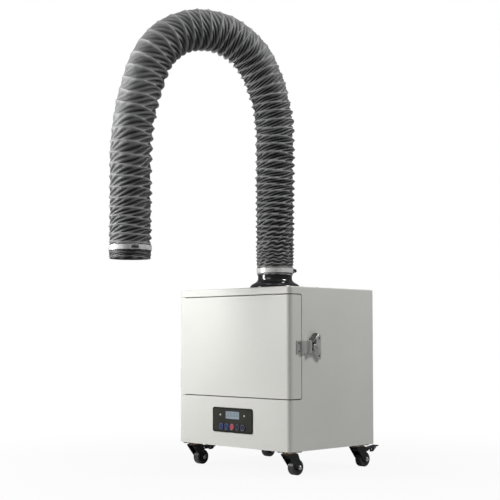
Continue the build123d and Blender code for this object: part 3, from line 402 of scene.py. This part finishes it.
def panel_finishes():
    """Control panel, display and keys. They reflect little, as printed film does."""
    film = dict(rough=0.42, grain=0.00006, scale=800, Specular_IOR_Level=0.12)
    key = dict(grain=0.00003, scale=600, Specular_IOR_Level=0.25)
    return {
        "panel": moulded("panel_film", (0.034, 0.035, 0.029), **film),
        "panel_edge": moulded("panel_edge", (0.008, 0.009, 0.008), **film),
        "panel_glass": moulded("panel_glass", (0.012, 0.013, 0.017), 0.25, 0.00001, 300,
                               Specular_IOR_Level=0.15),
        "display_mark": moulded("display_mark", (0.185, 0.235, 0.265), 0.3, 0.00001, 300,
                                Specular_IOR_Level=0.3),
        "display": moulded("display_glass", (0.29, 0.335, 0.385), 0.2, 0.00001, 100,
                           Specular_IOR_Level=0.3),
        "lamp": moulded("lamp_lens", (0.66, 0.68, 0.66), 0.25, 0.00002, 300),
        "board": moulded("circuit_board", (0.02, 0.15, 0.06), 0.4, 0.00004, 500),
        "key_blue": moulded("key_blue", (0.026, 0.045, 0.15), **key),
        "key_red": moulded("key_red", (0.42, 0.075, 0.10), **key),
        "key_dark": moulded("key_dark", (0.022, 0.024, 0.045), **key),
        "key_violet": moulded("key_violet", (0.034, 0.028, 0.075), **key),
        "key_rim": moulded("key_rim", (0.20, 0.21, 0.25), 0.4, **key),
    }


def give_finishes(finish):
    """Puts a finish on every CAD node that stays in view."""
    by_node = {
        "paint": ["cabinet_shell", "door_skin", "rear_panel"],
        "inner_paint": ["door_pan", "door_jamb", "base_plate"],
        "zinc": ["divider_plate", "filter_chamber"],
        "nickel": ["latch_base", "latch_hub", "latch_keeper", "hinge_cabinet", "hinge_door", "hinge_pins"],
        "nickel_bright": ["latch_claw", "latch_pin"],
        "nickel_painted_shade": ["latch_wing"],
        "screw": ["cabinet_screws"],
        "band": ["clamp_base", "clamp_end"],
        "race": ["caster_races"],
        "black_gloss": ["inlet_flange"],
        "black_coat": ["caster_plates", "fork_fl", "fork_fr", "fork_rl", "fork_rr", "pedal_fl", "pedal_rr"],
        "black_matt": ["blower_housing", "impeller", "motor", "power_inlet", "power_rocker"],
        "rubber": ["wheel_fl", "wheel_fr", "wheel_rl", "wheel_rr"],
        "foam": ["door_gasket"],
        "panel": ["control_panel"],
        "display": ["display_window"],
        "lamp": ["indicator_lamps"],
        "board": ["control_board"],
        "key_blue": ["key_1", "key_2"],
        "key_red": ["key_3"],
        "key_dark": ["key_4"],
        "key_violet": ["key_5"],
        "pleats": ["hepa_filter", "medium_filter"],
        "fleece": ["pre_filter"],
        "carbon": ["carbon_filter"],
    }
    for name, nodes in by_node.items():
        for node in nodes:
            slots = NODES[node].data.materials
            slots.clear()
            slots.append(finish[name])


# ---------------------------------------------------------------- mesh building blocks
def add_piece(name, shape, finish, body, crisp=None):
    """Makes a bmesh into a smooth piece that rides on a body. Edges over crisp degrees stay sharp."""
    bmesh.ops.recalc_face_normals(shape, faces=shape.faces)
    data = bpy.data.meshes.new(name)
    shape.to_mesh(data)
    shape.free()
    data.shade_smooth()
    if crisp:
        data.set_sharp_from_angle(angle=radians(crisp))
    data.materials.append(finish)
    made = bpy.data.objects.new(name, data)
    bpy.context.scene.collection.objects.link(made)
    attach(made, body)


def bridge(shape, low, high, closed=True):
    """Joins two rows of points with quads."""
    for k in range(len(low) if closed else len(low) - 1):
        nxt = (k + 1) % len(low)
        shape.faces.new((low[k], low[nxt], high[nxt], high[k]))


def lathe(name, profile, place, axis, finish, body, steps=64):
    """Turns a profile of (radius, height) points about an axis through place."""
    turn = Vector((0, 0, 1)).rotation_difference(Vector(axis)).to_matrix().to_4x4()
    where = Matrix.Translation(Vector(place)) @ turn
    shape = bmesh.new()
    rings = []
    for radius, height in profile:
        angles = [2 * pi * k / steps for k in range(steps if radius > 0 else 1)]
        rings.append([
            shape.verts.new(where @ Vector((radius * cos(angle), radius * sin(angle), height)))
            for angle in angles
        ])
    for low, high in zip(rings, rings[1:]):
        for k in range(steps):
            nxt = (k + 1) % steps
            corners = [low[k % len(low)], low[nxt % len(low)], high[nxt % len(high)], high[k % len(high)]]
            face = list(dict.fromkeys(corners))
            if len(face) > 2:
                shape.faces.new(face)
    add_piece(name, shape, finish, body, crisp=35)


def rounded_outline(width, height, corner, steps=8):
    """Points round a rectangle with rounded corners, about its middle."""
    points = []
    for turn, (way_x, way_z) in enumerate(((1, 1), (-1, 1), (-1, -1), (1, -1))):
        for step in range(steps + 1):
            angle = radians(90 * turn + 90 * step / steps)
            points.append((
                way_x * (width / 2 - corner) + corner * cos(angle),
                way_z * (height / 2 - corner) + corner * sin(angle),
            ))
    return points


def flat_frame(name, mid, face, outer, inner, rise, finish, body="root"):
    """A thin frame on a front face, with a softened outer edge. With inner None it is a plate.

    outer and inner are (width, height, corner radius); face is the Y that it stands on.
    """
    width, height, corner = outer
    softened = (width - rise, height - rise, max(corner - rise / 2, 0.0001))
    layers = [(outer, 0.0), (outer, rise * 0.6), (softened, rise)]
    if inner:
        layers += [(inner, rise), (inner, 0.0)]
    shape = bmesh.new()
    rings = [
        [shape.verts.new((mid.x + x, face - lift, mid.z + z)) for x, z in rounded_outline(*outline)]
        for outline, lift in layers
    ]
    for low, high in zip(rings, rings[1:]):
        bridge(shape, low, high)
    if not inner:
        shape.faces.new(rings[-1])
    add_piece(name, shape, finish, body, crisp=30)


# ---------------------------------------------------------------- the duct's line and relief
# The same line as the CAD duct: (length, 0, 0) is a straight run, (0, radius, degrees) an arc.
DUCT_RUNS = [(0.337, 0, 0), (0, 0.312, 29.5), (0, 0.142, 129.0), (0, 0.575, 21.5), (0.202, 0, 0)]
ARCH_TURN = 20.0
ARCH_DIR = Vector((-sin(radians(ARCH_TURN)), -cos(radians(ARCH_TURN)), 0))


def run_length(run):
    """Length of a straight run or an arc."""
    straight, radius, turn = run
    return straight + radius * radians(turn)


DUCT_LEN = sum(run_length(run) for run in DUCT_RUNS)
DUCT_START = 0.033
SKIN_SEAMS = (0.330, 0.830)


def duct_at(distance):
    """Reach, height and heading (radians), that far along the duct."""
    reach, height, heading = 0.0, 0.0, pi / 2
    for run in DUCT_RUNS:
        part = min(distance, run_length(run))
        radius = run[1]
        if radius:
            after = heading - radians(run[2]) * part / run_length(run)
            reach += radius * (sin(heading) - sin(after))
            height += radius * (cos(after) - cos(heading))
            heading = after
        else:
            reach += part * cos(heading)
            height += part * sin(heading)
        distance -= part
        if distance <= 1e-9:
            break
    return reach, height, heading


def duct_middle(distance):
    """Middle of the duct, in space, that far along it."""
    reach, height, _ = duct_at(distance)
    return DUCT_BASE + ARCH_DIR * reach + UP * height


# Along the duct: distance, wire pitch, radius over the ridges, depth of the slack fabric between
# them, and how much the closed-up turns wave.
DUCT_SHAPE = np.array([
    (0.033, 0.0075, 0.0393, 0.0004, 0.0000),
    (0.050, 0.0075, 0.0396, 0.0006, 0.0000),
    (0.057, 0.0070, 0.0416, 0.0042, 0.0011),
    (0.085, 0.0074, 0.0424, 0.0052, 0.0015),
    (0.100, 0.0100, 0.0428, 0.0062, 0.0010),
    (0.150, 0.0128, 0.0436, 0.0084, 0.0004),
    (0.225, 0.0136, 0.0442, 0.0092, 0.0000),
    (0.265, 0.0188, 0.0448, 0.0102, 0.0000),
    (0.500, 0.0194, 0.0451, 0.0104, 0.0000),
    (0.650, 0.0215, 0.0451, 0.0096, 0.0000),
    (0.780, 0.0250, 0.0454, 0.0092, 0.0000),
    (0.930, 0.0262, 0.0456, 0.0092, 0.0000),
    (1.060, 0.0232, 0.0456, 0.0086, 0.0000),
    (1.150, 0.0190, 0.0454, 0.0074, 0.0000),
    (1.195, 0.0165, 0.0450, 0.0066, 0.0000),
    (1.206, 0.0130, 0.0439, 0.0014, 0.0000),
    (1.219, 0.0090, 0.0438, 0.0010, 0.0000),
    (1.236, 0.0085, 0.0436, 0.0026, 0.0000),
])
PITCH, OVER, DEPTH, WAVE = 1, 2, 3, 4  # columns of DUCT_SHAPE
WAVES = 11
PLEATS_PER_TURN = 12.37
# Tables of distances along the duct and the value at each.
PLEAT_SLANT = ((0.05, 0.14, 0.265, 0.55, 0.80), (0.9, 1.5, 2.7, 3.0, 2.1))  # pleats from ridge to ridge
ARCH_TAUT = ((0.30, 0.42, 0.52, 0.85, 1.0, 1.1), (0.15, 0.45, 1.0, 1.0, 0.6, 0.3))
FOLD_SHARP = ((0.55, 0.85), (0.78, 1.25))
FOLD_LEAN = ((0.55, 0.85), (0.85, 0.66))
HEM_SHADE = (DUCT_LEN - np.array([0.0175, 0.0155, 0.004, 0.001]), (1, 0.5, 0.55, 0.9))

COLUMNS = 150
ANGLES = np.arange(COLUMNS) * 2 * pi / COLUMNS
# Rows of points from one ridge to the next, closest at the ridge.
ROWS = 22
EVEN_MARKS = np.linspace(0, 1, ROWS, endpoint=False)
ROW_MARKS = EVEN_MARKS - 0.06 * np.sin(2 * pi * EVEN_MARKS)
# Turns left free between the helical rows and the plain ring at each end.
RING_GAP = 0.012
GIRTH = 2 * pi * 0.044
# The hem at the mouth, as steps of (inset, way back up the duct).
LIP_STEPS = (
    (-0.0005, -0.0006), (-0.0003, -0.0013), (0.0006, -0.0016), (0.0016, -0.0011), (0.0022, 0.0002),
    (0.0024, 0.006), (0.0024, 0.016), (0.0030, 0.030), (0.0046, 0.045), (0.0046, 0.075),
)


def shape_at(distance, column):
    """A column of DUCT_SHAPE, that far along the duct."""
    return np.interp(distance, DUCT_SHAPE[:, 0], DUCT_SHAPE[:, column])


# Turns of the wire, counted along the duct.
FINE = np.linspace(DUCT_START, DUCT_LEN, 6000)
FINE_PITCH = shape_at(FINE, PITCH)
FINE_TURNS = np.concatenate([[0], np.cumsum(np.diff(FINE) / ((FINE_PITCH[1:] + FINE_PITCH[:-1]) / 2))])
# The duct's line, sampled once.
LINE_MARKS = np.linspace(0, DUCT_LEN, 1500)
LINE = np.array([duct_at(mark) for mark in LINE_MARKS])


def scatter(index, salt=0.0):
    """A repeatable value from 0 to 1 for each whole number."""
    value = np.sin(index * 12.9898 + salt * 78.233) * 43758.5453
    return value - np.floor(value)


def wander(value, salt):
    """Smooth noise along one axis."""
    low = np.floor(value)
    part = value - low
    ease = part * part * (3 - 2 * part)
    return scatter(low, salt) * (1 - ease) + scatter(low + 1, salt) * ease


def duct_relief(distance, screw, angle):
    """Radius over the duct, closeness to a ridge, and how little the fabric sinks there, which the fabric's
    colour turns into painted shade and painted highlight.

    screw counts turns of the wire and is whole on each ridge; angle is 0 on the outside of the arch.
    """
    over = shape_at(distance, OVER)
    depth = shape_at(distance, DEPTH)
    around = angle / (2 * pi)
    turn_no = np.floor(screw + 1e-9)
    between = np.clip(screw - turn_no, 0, 1)  # 0 at one ridge, 1 at the next
    strip = turn_no - around  # runs on along the strip of fabric between two turns
    near = np.abs(2 * between - 1)  # 1 on a ridge, 0 half way

    # The fabric is taut on the outside of the arch and slack on the inside.
    taut = np.interp(distance, *ARCH_TAUT) * np.clip(0.5 + 0.62 * np.cos(angle), 0, 1)
    limp = 1 - 0.55 * taut
    hollow = 1 - near ** (1.7 + 1.6 * taut)

    # Pleats leave the ridge below and run up to the right, round about a quarter of a turn.
    drift = 0.55 * (wander(strip * 5.1, 5.3) - 0.5)
    slant = np.interp(distance, *PLEAT_SLANT)
    along = -strip * PLEATS_PER_TURN - slant * between + drift
    index = np.floor(along)
    part = along - index
    # Each is a full fold with a tight groove on either side, and no two are the same height.
    # They are broad up the riser, and down the drop they narrow to a crest with a dark side.
    sharp = np.interp(distance, *FOLD_SHARP)
    lean = np.interp(distance, *FOLD_LEAN)
    fold = np.sin(pi * part ** lean) ** sharp * (0.70 + 0.30 * scatter(index, 2.2))
    # A second, shorter set of creases comes down from the ridge above.
    crossing = 2.1 * (wander(strip * 7.7, 1.9) - 0.5)
    second = -strip * PLEATS_PER_TURN * 1.55 - slant * 1.2 * between + crossing
    notch = np.abs(second - np.floor(second) - 0.5) * 2
    notch = np.clip(1 - notch / 0.35, 0, 1) * np.clip((between - 0.15) * 1.6, 0, 1)

    groove = (1 - near ** 5) * (1 - fold)
    sag = 0.30 * hollow * limp + 0.66 * groove * limp + 0.05 * notch * hollow + 0.08 * hollow
    drop = sag * (1 - 0.25 * taut)
    uneven = 0.90 + 0.20 * wander(strip * 2.7, 1.7)
    oval = 1 + 0.008 * np.sin(2 * angle + 1.7 * (screw - around))
    radius = over * oval - depth * uneven * drop
    # Painted shade: the turned-in folds below the end clamp are darkened, as they lie in the clamp's shade.
    shade = np.interp(distance, *HEM_SHADE)
    return radius, near ** 6, np.clip(1 - drop, 0, 1) * shade


def duct_grid(screw):
    """Turns of wire and distance along the duct at every row and column: the rows follow the wire."""
    turns = screw[:, None] - ANGLES[None, :] / (2 * pi)
    distance = np.interp(np.clip(turns, 0, FINE_TURNS[-1]), FINE_TURNS, FINE)
    wave = shape_at(distance, WAVE) * np.sin(WAVES * ANGLES + 0.6 * np.sin(turns))
    ruck = 0.07 * np.sin(2 * ANGLES + 1.3 * turns) + 0.05 * np.sin(3 * ANGLES - 0.8 * turns + 1)
    return turns, distance + wave + shape_at(distance, PITCH) * ruck


def duct_point(distance, radius, angle):
    """Points in space, given the distance along the duct, radius and angle of each."""
    reach, height, heading = (np.interp(distance, LINE_MARKS, LINE[:, k]) for k in range(3))
    arch, up, side = np.array(ARCH_DIR), np.array(UP), np.array(ARCH_DIR.cross(UP))
    centre = np.array(DUCT_BASE) + reach[..., None] * arch + height[..., None] * up
    outward = np.cos(heading)[..., None] * up - np.sin(heading)[..., None] * arch
    return (
        centre
        + (radius * np.cos(angle))[..., None] * outward
        + (radius * np.sin(angle))[..., None] * side
    )


# ---------------------------------------------------------------- the duct's skin
class Skin:
    """The points of a skin: their places, ridge and lift values, and coordinates on the cloth."""

    def __init__(self):
        self.batches = {"place": [], "ridge": [], "lift": [], "cloth": []}
        self.count = 0

    def add(self, **values):
        """Adds a batch of points and returns their numbers."""
        for key, value in values.items():
            self.batches[key].append(value)
        before = self.count
        self.count += len(values["place"])
        return np.arange(before, self.count)

    def all(self, key):
        return np.concatenate(self.batches[key])

    def add_rows(self, first, last):
        """Adds rows that follow the wire from one turn to another. Returns the numbers, -1 outside."""
        whole = np.arange(np.floor(first) - 1, np.ceil(last + 1) + 2)
        screw = (whole[:, None] + ROW_MARKS[None, :]).ravel()
        turns, distance = duct_grid(screw)
        screws, angles = np.broadcast_arrays(screw[:, None], ANGLES[None, :])
        radius, ridge, lift = duct_relief(distance, screws, angles)
        place = duct_point(distance, radius, angles)
        cloth = np.stack([angles / (2 * pi) * GIRTH, distance], -1)
        kept = (turns > first + RING_GAP) & (turns < last - RING_GAP)
        number = np.full(kept.shape, -1)
        number[kept] = self.add(place=place[kept], ridge=ridge[kept], lift=lift[kept], cloth=cloth[kept])
        return number

    def add_ring(self, turn, inset=0.0, back=0.0):
        """Adds a plain ring of points, one to a column, and returns their numbers."""
        plain = np.full(COLUMNS, np.interp(turn, FINE_TURNS, FINE))
        radius, ridge, lift = duct_relief(plain, turn + ANGLES / (2 * pi), ANGLES)
        place = duct_point(plain - back, radius - inset, ANGLES)
        cloth = np.stack([ANGLES / (2 * pi) * GIRTH, plain + inset], -1)
        return self.add(place=place, ridge=ridge, lift=lift, cloth=cloth)


def wall_faces(number, low_ring, high_ring):
    """Quads between neighbouring columns, and a wider face from them to each plain ring."""
    faces = []
    for column in range(COLUMNS):
        after = (column + 1) % COLUMNS
        shift = ROWS if after == 0 else 0  # past the last column, each row goes on one turn lower
        near_col, far_col = number[:, column], number[:, after]
        mine = np.flatnonzero(near_col >= 0)
        other = np.flatnonzero(far_col >= 0) + shift
        low, high = max(mine[0], other[0]), min(mine[-1], other[-1])
        faces += [
            (near_col[row], far_col[row - shift], far_col[row + 1 - shift], near_col[row + 1])
            for row in range(low, high)
        ]
        foot = [low_ring[column], low_ring[after]]
        foot += [far_col[row - shift] for row in range(other[0], low + 1)]
        foot += [near_col[row] for row in range(low, mine[0] - 1, -1)]
        faces.append(foot)
        head = [near_col[row] for row in range(mine[-1], high - 1, -1)]
        head += [far_col[row - shift] for row in range(high, other[-1] + 1)]
        faces.append([*head, high_ring[after], high_ring[column]])
    return faces


def duct_piece(name, start, end, finish):
    """The duct's skin from one distance to another: a fine tube whose rows follow the wire."""
    first, last = (np.interp(distance, FINE, FINE_TURNS) for distance in (start, end))
    skin = Skin()
    number = skin.add_rows(first, last)
    low_ring, high_ring = skin.add_ring(first), skin.add_ring(last)
    faces = wall_faces(number, low_ring, high_ring)
    if end == DUCT_LEN:
        # The cloth is hemmed at the mouth and runs back up inside.
        previous = high_ring
        for inset, back in LIP_STEPS:
            ring = skin.add_ring(last, inset, back)
            for k in range(COLUMNS):
                nxt = (k + 1) % COLUMNS
                faces.append((previous[k], previous[nxt], ring[nxt], ring[k]))
            previous = ring
    data = bpy.data.meshes.new(name)
    data.from_pydata(skin.all("place").tolist(), [], [tuple(int(v) for v in face) for face in faces])
    for label in ("ridge", "lift"):
        layer = data.attributes.new(label, "FLOAT", "POINT")
        layer.data.foreach_set("value", np.clip(skin.all(label), 0, 1).astype(np.float32))
    uv = data.uv_layers.new(name="cloth")
    corner = np.empty(len(data.loops), int)
    data.loops.foreach_get("vertex_index", corner)
    uv.data.foreach_set("uv", skin.all("cloth")[corner].astype(np.float32).ravel())
    data.materials.append(finish)
    data.shade_smooth()
    made = bpy.data.objects.new(name, data)
    bpy.context.scene.collection.objects.link(made)
    return made


def make_duct(finish):
    """Three skins for the whole hose, one over each bend, in place of the CAD nodes that they cover."""
    low_seam, high_seam = SKIN_SEAMS
    # Name, start, end, joint, bodies on either side of it, nodes replaced, and where the bend is.
    parts = (
        ("duct_skin_riser", DUCT_START, low_seam, "duct_lean", ("duct_base", "duct_mid"),
         ("duct_lower", "bellows_lean"), 0.152),
        ("duct_skin_arch", low_seam, high_seam, "duct_arch", ("duct_mid", "duct_front"),
         ("duct_riser", "duct_arch_rear", "bellows_arch"), 0.655),
        ("duct_skin_drop", high_seam, DUCT_LEN, "duct_nozzle_bend", ("duct_front", "duct_end"),
         ("duct_drop", "bellows_drop", "duct_nozzle"), 1.000),
    )
    for name, start, end, joint, bodies, nodes, bend_at in parts:
        skin = duct_piece(name, start, end, finish)
        heading = duct_at(bend_at)[2]
        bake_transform(skin)
        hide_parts(*nodes)


# ---------------------------------------------------------------- small metal and plastic details
def make_worm(name, distance, band_r, facing, body, finish):
    """The threaded screw of a hose clamp, on the side facing that way."""
    out = Vector((cos(radians(facing)), sin(radians(facing)), 0))
    across = Vector((-sin(radians(facing)), cos(radians(facing)), 0))
    start = duct_middle(distance) + out * (band_r + 0.0038) - across * 0.0076
    thread = [(0, 0), (0.0031, 0)]
    for step in range(9):
        foot = 0.0003 + 0.0016 * step
        thread += [(0.0036, foot + 0.0003), (0.00372, foot + 0.0007)]
        thread += [(0.0036, foot + 0.0011), (0.0033, foot + 0.0014)]
    thread += [(0.0033, 0.0151), (0, 0.0151)]
    lathe(name, thread, start, across, finish["worm"], body, steps=28)


def make_clamp_details(finish):
    """A worm screw on the clamp at each end of the hose."""
    make_worm("worm_base", 0.043, 0.04045, 40, "root", finish)
    make_worm("worm_end", DUCT_LEN - 0.022, 0.045, -27, "duct_end", finish)


def make_caster_details(finish):
    """Bright axle nuts on the forks, and rivets on the two brake pedals."""
    nut = [(0.0046, -0.0024), (0.0046, -0.0004), (0.0040, 0.0003), (0.0022, 0.0004), (0.0020, 0.0012),
           (0, 0.0014)]
    for corner in ("fl", "fr", "rl", "rr"):
        low, high, _ = extent(f"fork_{corner}")
        wheel = extent(f"wheel_{corner}")[2]
        for face, way, side in ((low.x, -1, "in"), (high.x, 1, "out")):
            lathe(f"axle_nut_{corner}_{side}", nut, (face, wheel.y, wheel.z), (way, 0, 0),
                  finish["screw"], f"caster_{corner}", steps=24)
    rivet = [(0.0017, -0.0003), (0.0017, 0.0002), (0.0014, 0.0007), (0.0008, 0.0010), (0, 0.0011)]
    for corner in ("fl", "rr"):
        low, high, _ = extent(f"pedal_{corner}")
        for k, (back, height) in enumerate(((0.0250, 0.0360), (0.0140, 0.0371))):
            for face, way, side in ((low.x, -1, "a"), (high.x, 1, "b")):
                lathe(f"pedal_rivet_{corner}_{k + 1}{side}", rivet, (face, high.y - back, height),
                      (way, 0, 0), finish["screw"], f"brake_{corner}", steps=20)


def make_latch_details(finish):
    """Recessed screws in the latch's base plate and in its keeper, coloured near black as painted shade in
    their holes.
    """
    base_low, base_high, base = extent("latch_base")
    keep_low = extent("latch_keeper")[0]
    # Name, face, Y, distance above and below the middle, radius, body.
    groups = (
        ("latch_screw", base_low.x + 0.0045, base_high.y - 0.0066, 0.018, 0.00215, "root"),
        ("keeper_screw", base_low.x + 0.0016, keep_low.y + 0.007, 0.0085, 0.00175, "door"),
    )
    for name, face, y, apart, radius, body in groups:
        head = [(radius, -0.0012), (radius, -0.0005), (radius * 0.85, -0.0002), (radius * 0.45, -0.0003),
                (radius * 0.38, -0.0011), (0, -0.0012)]
        # The heads are near black as painted shade in the holes.
        for k, way in enumerate((1, -1)):
            lathe(f"{name}_{k}", head, (face, y, base.z + way * apart), (1, 0, 0),
                  finish["black_coat"], body, steps=24)


def make_latch_trim(finish):
    """A black crescent round the hub's front half, as painted shadow in the gap between claw and hub, and
    the wing's bright folded edge.
    """
    hub = extent("latch_hub")[2]
    face = extent("latch_base")[0].x + 0.0045
    inner = 0.0064
    arc_steps = 24
    # Painted shadow: a near black crescent where the gap between claw and hub lies in shade.
    shape = bmesh.new()
    rings = []
    for step in range(arc_steps + 1):
        angle = radians(98 + 164 * step / arc_steps)
        outer = inner + 0.0030 * sin(radians(180 * step / arc_steps)) ** 0.5  # tapers to both ends
        section = ((inner, -0.0002), (inner, 0.0005), (outer - 0.0002, 0.0005), (outer, 0.0003),
                   (outer, -0.0040))
        rings.append([
            shape.verts.new((face + rise, hub.y + radius * cos(angle), hub.z + radius * sin(angle)))
            for radius, rise in section
        ])
    for before, after in zip(rings, rings[1:]):
        bridge(shape, before, after, closed=False)
    add_piece("latch_shadow_crescent", shape, finish["black_matt"], "root")

    wing_face = extent("latch_wing")[1].x
    way = Vector((0, cos(radians(45)), sin(radians(45))))
    foot = Vector((wing_face, hub.y + 0.001, hub.z + 0.018)) - way * 0.0105
    bead = [(0, 0), (0.0004, 0.0001), (0.0006, 0.0004), (0.0006, 0.0206), (0.0004, 0.0209), (0, 0.021)]
    lathe("wing_edge", bead, foot, way, finish["nickel_bright"], "latch_handle", steps=16)


def make_key_rims(finish):
    """A raised ring round each key, which moves with it."""
    ring = [(0.0063, 0.0), (0.0063, 0.0004), (0.0060, 0.0006), (0.0056, 0.0004), (0.0056, 0.0)]
    for index in range(1, 6):
        low, _, mid = extent(f"key_{index}")
        lathe(f"key_rim_{index}", ring, (mid.x, low.y + 0.0002, mid.z), (0, -1, 0), finish["key_rim"],
              f"button_{index}", steps=48)


def make_panel_details(finish):
    """A darker printed border, the black surround of the display, and plain bars on the display."""
    low, high, mid = extent("control_panel")
    width, height = high.x - low.x, high.z - low.z
    flat_frame("panel_border", mid, low.y, (width - 0.0004, height - 0.0004, 0.0048),
               (width - 0.0052, height - 0.0052, 0.0030), 0.00012, finish["panel_edge"])
    low, high, mid = extent("display_window")
    width, height = high.x - low.x, high.z - low.z
    flat_frame("display_surround", mid, low.y, (width + 0.0046, height + 0.0046, 0.0014),
               (width - 0.0004, height - 0.0004, 0.0006), 0.00012, finish["panel_glass"])
    for row, (rise, tall) in enumerate(((0.0038, 0.0028), (-0.0012, 0.0042))):
        for column in range(4):
            spot = mid + Vector((-0.0135 + 0.009 * column, 0, rise))
            wide = 0.0052 + 0.001 * ((row + column) % 2)
            flat_frame(f"display_bar_{row + 1}{column + 1}", spot, low.y, (wide, tall, 0.0008),
                       None, 0.00008, finish["display_mark"])


def pull_tab(name, x, face, z, width, finish):
    """A loop of webbing on a filter's front, to draw it out by."""
    path = []
    for step in range(17):
        turn = pi * step / 16
        path.append((-0.0085 * sin(turn) ** 0.8 - 0.0002, 0.0062 * cos(turn) - 0.0018 * sin(turn)))
    shape = bmesh.new()
    rows = []
    for k, (out, up) in enumerate(path):
        before, after = path[max(k - 1, 0)], path[min(k + 1, len(path) - 1)]
        along = Vector((after[0] - before[0], after[1] - before[1])).normalized()
        normal = Vector((along.y, -along.x)) * 0.0005
        row = []
        for side in (1, -1):
            for part in (-1, -0.96, -0.5, 0, 0.5, 0.96, 1)[::side]:
                thin = 0.6 if abs(part) == 1 else 1.0  # the woven edge is thinner
                row.append(shape.verts.new((
                    x + part * width / 2,
                    face + out + side * normal.x * thin,
                    z + up + side * normal.y * thin,
                )))
        rows.append(row)
    for low, high in zip(rows, rows[1:]):
        bridge(shape, low, high)
    add_piece(name, shape, finish, "root")


def make_filter_details(finish):
    """The front of each filter: its folded card or moulded frame, and webbing to pull it out by."""
    # Node, finish, width of its frame, and where its tabs are across the middle.
    for node, finish_name, edge, tabs in (
        ("pre_filter", "card", 0.0022, (0,)),
        ("medium_filter", "card", 0.0032, (0,)),
        ("hepa_filter", "card", 0.0055, (-0.085, 0.085)),
        ("carbon_filter", "frame_black", 0.0040, ()),
    ):
        low, high, mid = extent(node)
        width, height = high.x - low.x, high.z - low.z
        flat_frame(f"{node}_frame", mid, low.y, (width - 0.0006, height - 0.0006, 0.0015),
                   (width - 2 * edge, height - 2 * edge, 0.0008), 0.0012, finish[finish_name])
        for k, across in enumerate(tabs):
            pull_tab(f"{node}_tab_{k + 1}", mid.x + across, low.y, mid.z,
                     0.018 if height > 0.02 else 0.014, finish["webbing"])
    low, high, mid = extent("carbon_filter")
    cells = 6
    pitch = (high.x - low.x - 0.010) / cells
    tall = high.z - low.z - 0.009
    for cell in range(cells):
        spot = Vector((low.x + 0.005 + pitch * (cell + 0.5), 0, mid.z))
        flat_frame(f"carbon_cell_{cell + 1}", spot, low.y, (pitch - 0.0006, tall, 0.003),
                   (pitch - 0.0062, tall - 0.006, 0.0024), 0.0009, finish["frame_black"])
    # Flat stitched bands hold the pleated pack behind its card front.
    low, high, mid = extent("hepa_filter")
    for k in range(7):
        spot = mid + Vector((-0.126 + 0.042 * k, 0, 0))
        flat_frame(f"hepa_band_{k + 1}", spot, low.y, (0.0044, high.z - low.z - 0.0115, 0.0008),
                   None, 0.0004, finish["card"])


make_camera()
make_lights()
make_world()
make_floor()
finishes = {**metal_finishes(), **plastic_finishes(), **panel_finishes()}
give_finishes(finishes)
make_duct(finishes["fabric"])
make_clamp_details(finishes)
make_caster_details(finishes)
make_latch_details(finishes)
make_latch_trim(finishes)
make_key_rims(finishes)
make_panel_details(finishes)
make_filter_details(finishes)
